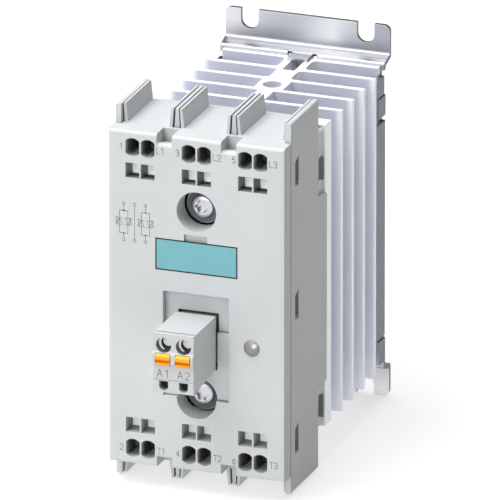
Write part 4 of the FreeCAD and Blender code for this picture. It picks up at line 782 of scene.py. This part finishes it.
def build_wire_cages(light, dark):
    """Edge and stop of the cage in each wire hole of the plug, glowing as painted light, with a tube of
    painted shade between.
    """
    bright, tubes = bmesh.new(), bmesh.new()
    edge, stop = PLUG_FACE + CAGE_DEPTH, PLUG_FACE + STOP_DEPTH
    for hole in WIRE_HOLES:
        x, z = hole.x, hole.z
        outer = arc(x, z, CAGE_RADIUS, CAGE_RADIUS, *CAGE_ARC, 20)
        inner = arc(x + CAGE_INNER_SHIFT, z, CAGE_INNER_RADIUS, CAGE_INNER_RADIUS, *CAGE_ARC, 20)
        bridge(bright, points_at(bright, outer, edge), points_at(bright, inner, edge + 0.04))
        bright.faces.new(circle(bright, x, z, STOP_RADIUS, stop))
        mouth = circle(tubes, x, z, TUBE_RADIUS, edge + SHADE_THICKNESS)
        bridge(tubes, mouth, circle(tubes, x, z, TUBE_RADIUS, stop), closed=True)
    finish_piece(bright, "wire_cages", light, "control_plug")
    finish_piece(tubes, "wire_hole_shade_tubes", dark, "control_plug")


# ---------------------------------------------------------------- floor, lights and camera, in metres

LIGHTS = {
    "key": {"position": (-0.90, -1.50, 2.20), "size": 1.5, "power": 20.0},
    "front": {"position": (-0.30, -2.40, 1.00), "size": 1.5, "power": 28.0},
    "overhead": {"position": (-0.35, -0.15, 1.90), "size": 1.8, "power": 54.0},
    "left": {"position": (-2.20, -0.30, 1.10), "size": 1.4, "power": 16.0},
    "rear": {"position": (0.75, 1.60, 0.25), "size": 1.2, "power": 2.5},
    "sparkle": {"position": (0.90, -0.07, 1.00), "size": 0.14, "power": 0.9},
}
VIEW_AIM = Vector((0.0, -0.04217, 0.00143))
VIEW_WIDTH = 0.12136
VIEW_AZIMUTH, VIEW_ELEVATION = 20, 20
FLOOR_HALF_SIZE = 4.0
FLOOR_GAP = 0.0002


def build_floor(low):
    """Plain pale floor under the object."""
    material, tree, shader = new_material("floor_white")
    cloud = noise(tree, 6, 2.0)
    set_inputs(
        tree,
        shader,
        {
            "Base Color": blend_colour(tree, cloud, (0.34, 0.34, 0.34), (0.36, 0.36, 0.36)),
            "Roughness": 0.8,
            "Emission Color": (1.0, 1.0, 1.0, 1.0),
            "Emission Strength": 0.62,
        },
    )
    mesh = bmesh.new()
    bmesh.ops.create_grid(mesh, x_segments=4, y_segments=4, size=FLOOR_HALF_SIZE)
    data = bpy.data.meshes.new("floor")
    mesh.to_mesh(data)
    mesh.free()
    data.materials.append(material)
    floor = bpy.data.objects.new("floor", data)
    floor.location.z = low - FLOOR_GAP
    bpy.context.scene.collection.objects.link(floor)


def build_world():
    """White surroundings for the camera, which light the object only a little."""
    world = bpy.data.worlds.new("studio")
    bpy.context.scene.world = world
    world.use_nodes = True
    tree = world.node_tree
    seen = add(tree, "ShaderNodeLightPath").outputs["Is Camera Ray"]
    strength = between(tree, seen, 0.02, 1.0, 0.0, 1.0)
    set_inputs(tree, tree.nodes["Background"], {"Color": (1.0, 1.0, 1.0, 1.0), "Strength": strength})


def build_light(name, position, size, power):
    """Soft square light aimed at the middle of the view."""
    data = bpy.data.lights.new(name, "AREA")
    data.size = size
    data.energy = power
    light = bpy.data.objects.new(name, data)
    light.location = position
    light.rotation_mode = "QUATERNION"
    light.rotation_quaternion = (VIEW_AIM - Vector(position)).to_track_quat("-Z", "Y")
    light.visible_camera = False
    bpy.context.scene.collection.objects.link(light)


def build_camera():
    """Camera at the front right, a little above, with a very long lens."""
    azimuth, elevation = math.radians(VIEW_AZIMUTH), math.radians(VIEW_ELEVATION)
    flat = math.cos(elevation)
    back = Vector((math.sin(azimuth) * flat, -math.cos(azimuth) * flat, math.sin(elevation)))
    data = bpy.data.cameras.new("camera")
    data.lens = 1700
    data.sensor_width = 36
    data.clip_start = 0.5
    data.clip_end = 20
    camera = bpy.data.objects.new("camera", data)
    camera.location = VIEW_AIM + back * (VIEW_WIDTH * data.lens / data.sensor_width)
    camera.rotation_mode = "QUATERNION"
    camera.rotation_quaternion = (-back).to_track_quat("-Z", "Y")
    bpy.context.scene.collection.objects.link(camera)
    bpy.context.scene.camera = camera


# ---------------------------------------------------------------- build

paint_nodes()
ink_grey = moulded("printed_grey", (0.075, 0.079, 0.083), (0.092, 0.096, 0.100), (0.5, 0.6), edge=0.01)
# Painted shade: near-black material for dark pieces set in gaps and holes.
painted_gap_shade = moulded("painted_gap_shade", (0.012, 0.013, 0.013), (0.018, 0.019, 0.019), (0.6, 0.7), edge=0.01)
shade_grey = moulded("shade_grey", (0.200, 0.225, 0.218), (0.220, 0.245, 0.238), (0.6, 0.7), edge=0.01)
# Painted light: light strips that glow a little.
painted_light_strip = moulded(
    "painted_light_strip", (0.80, 0.82, 0.82), (0.85, 0.87, 0.87), (0.4, 0.5), edge=0.01, fixed=PAINTED_GLOW
)
build_terminal_numbers(ink_grey)
build_diagram(ink_grey)
build_plug_names(ink_grey)
build_label_gap(painted_gap_shade)
build_window_shades(shade_grey)
build_lever_feet(painted_light_strip, painted_gap_shade)
build_probe_shades(painted_gap_shade)
build_wire_cages(painted_light_strip, painted_gap_shade)
build_floor(cad_box[0].z)
build_world()
for light_name, settings in LIGHTS.items():
    build_light(light_name, **settings)
build_camera()
bpy.context.scene.view_settings.view_transform = "Standard"
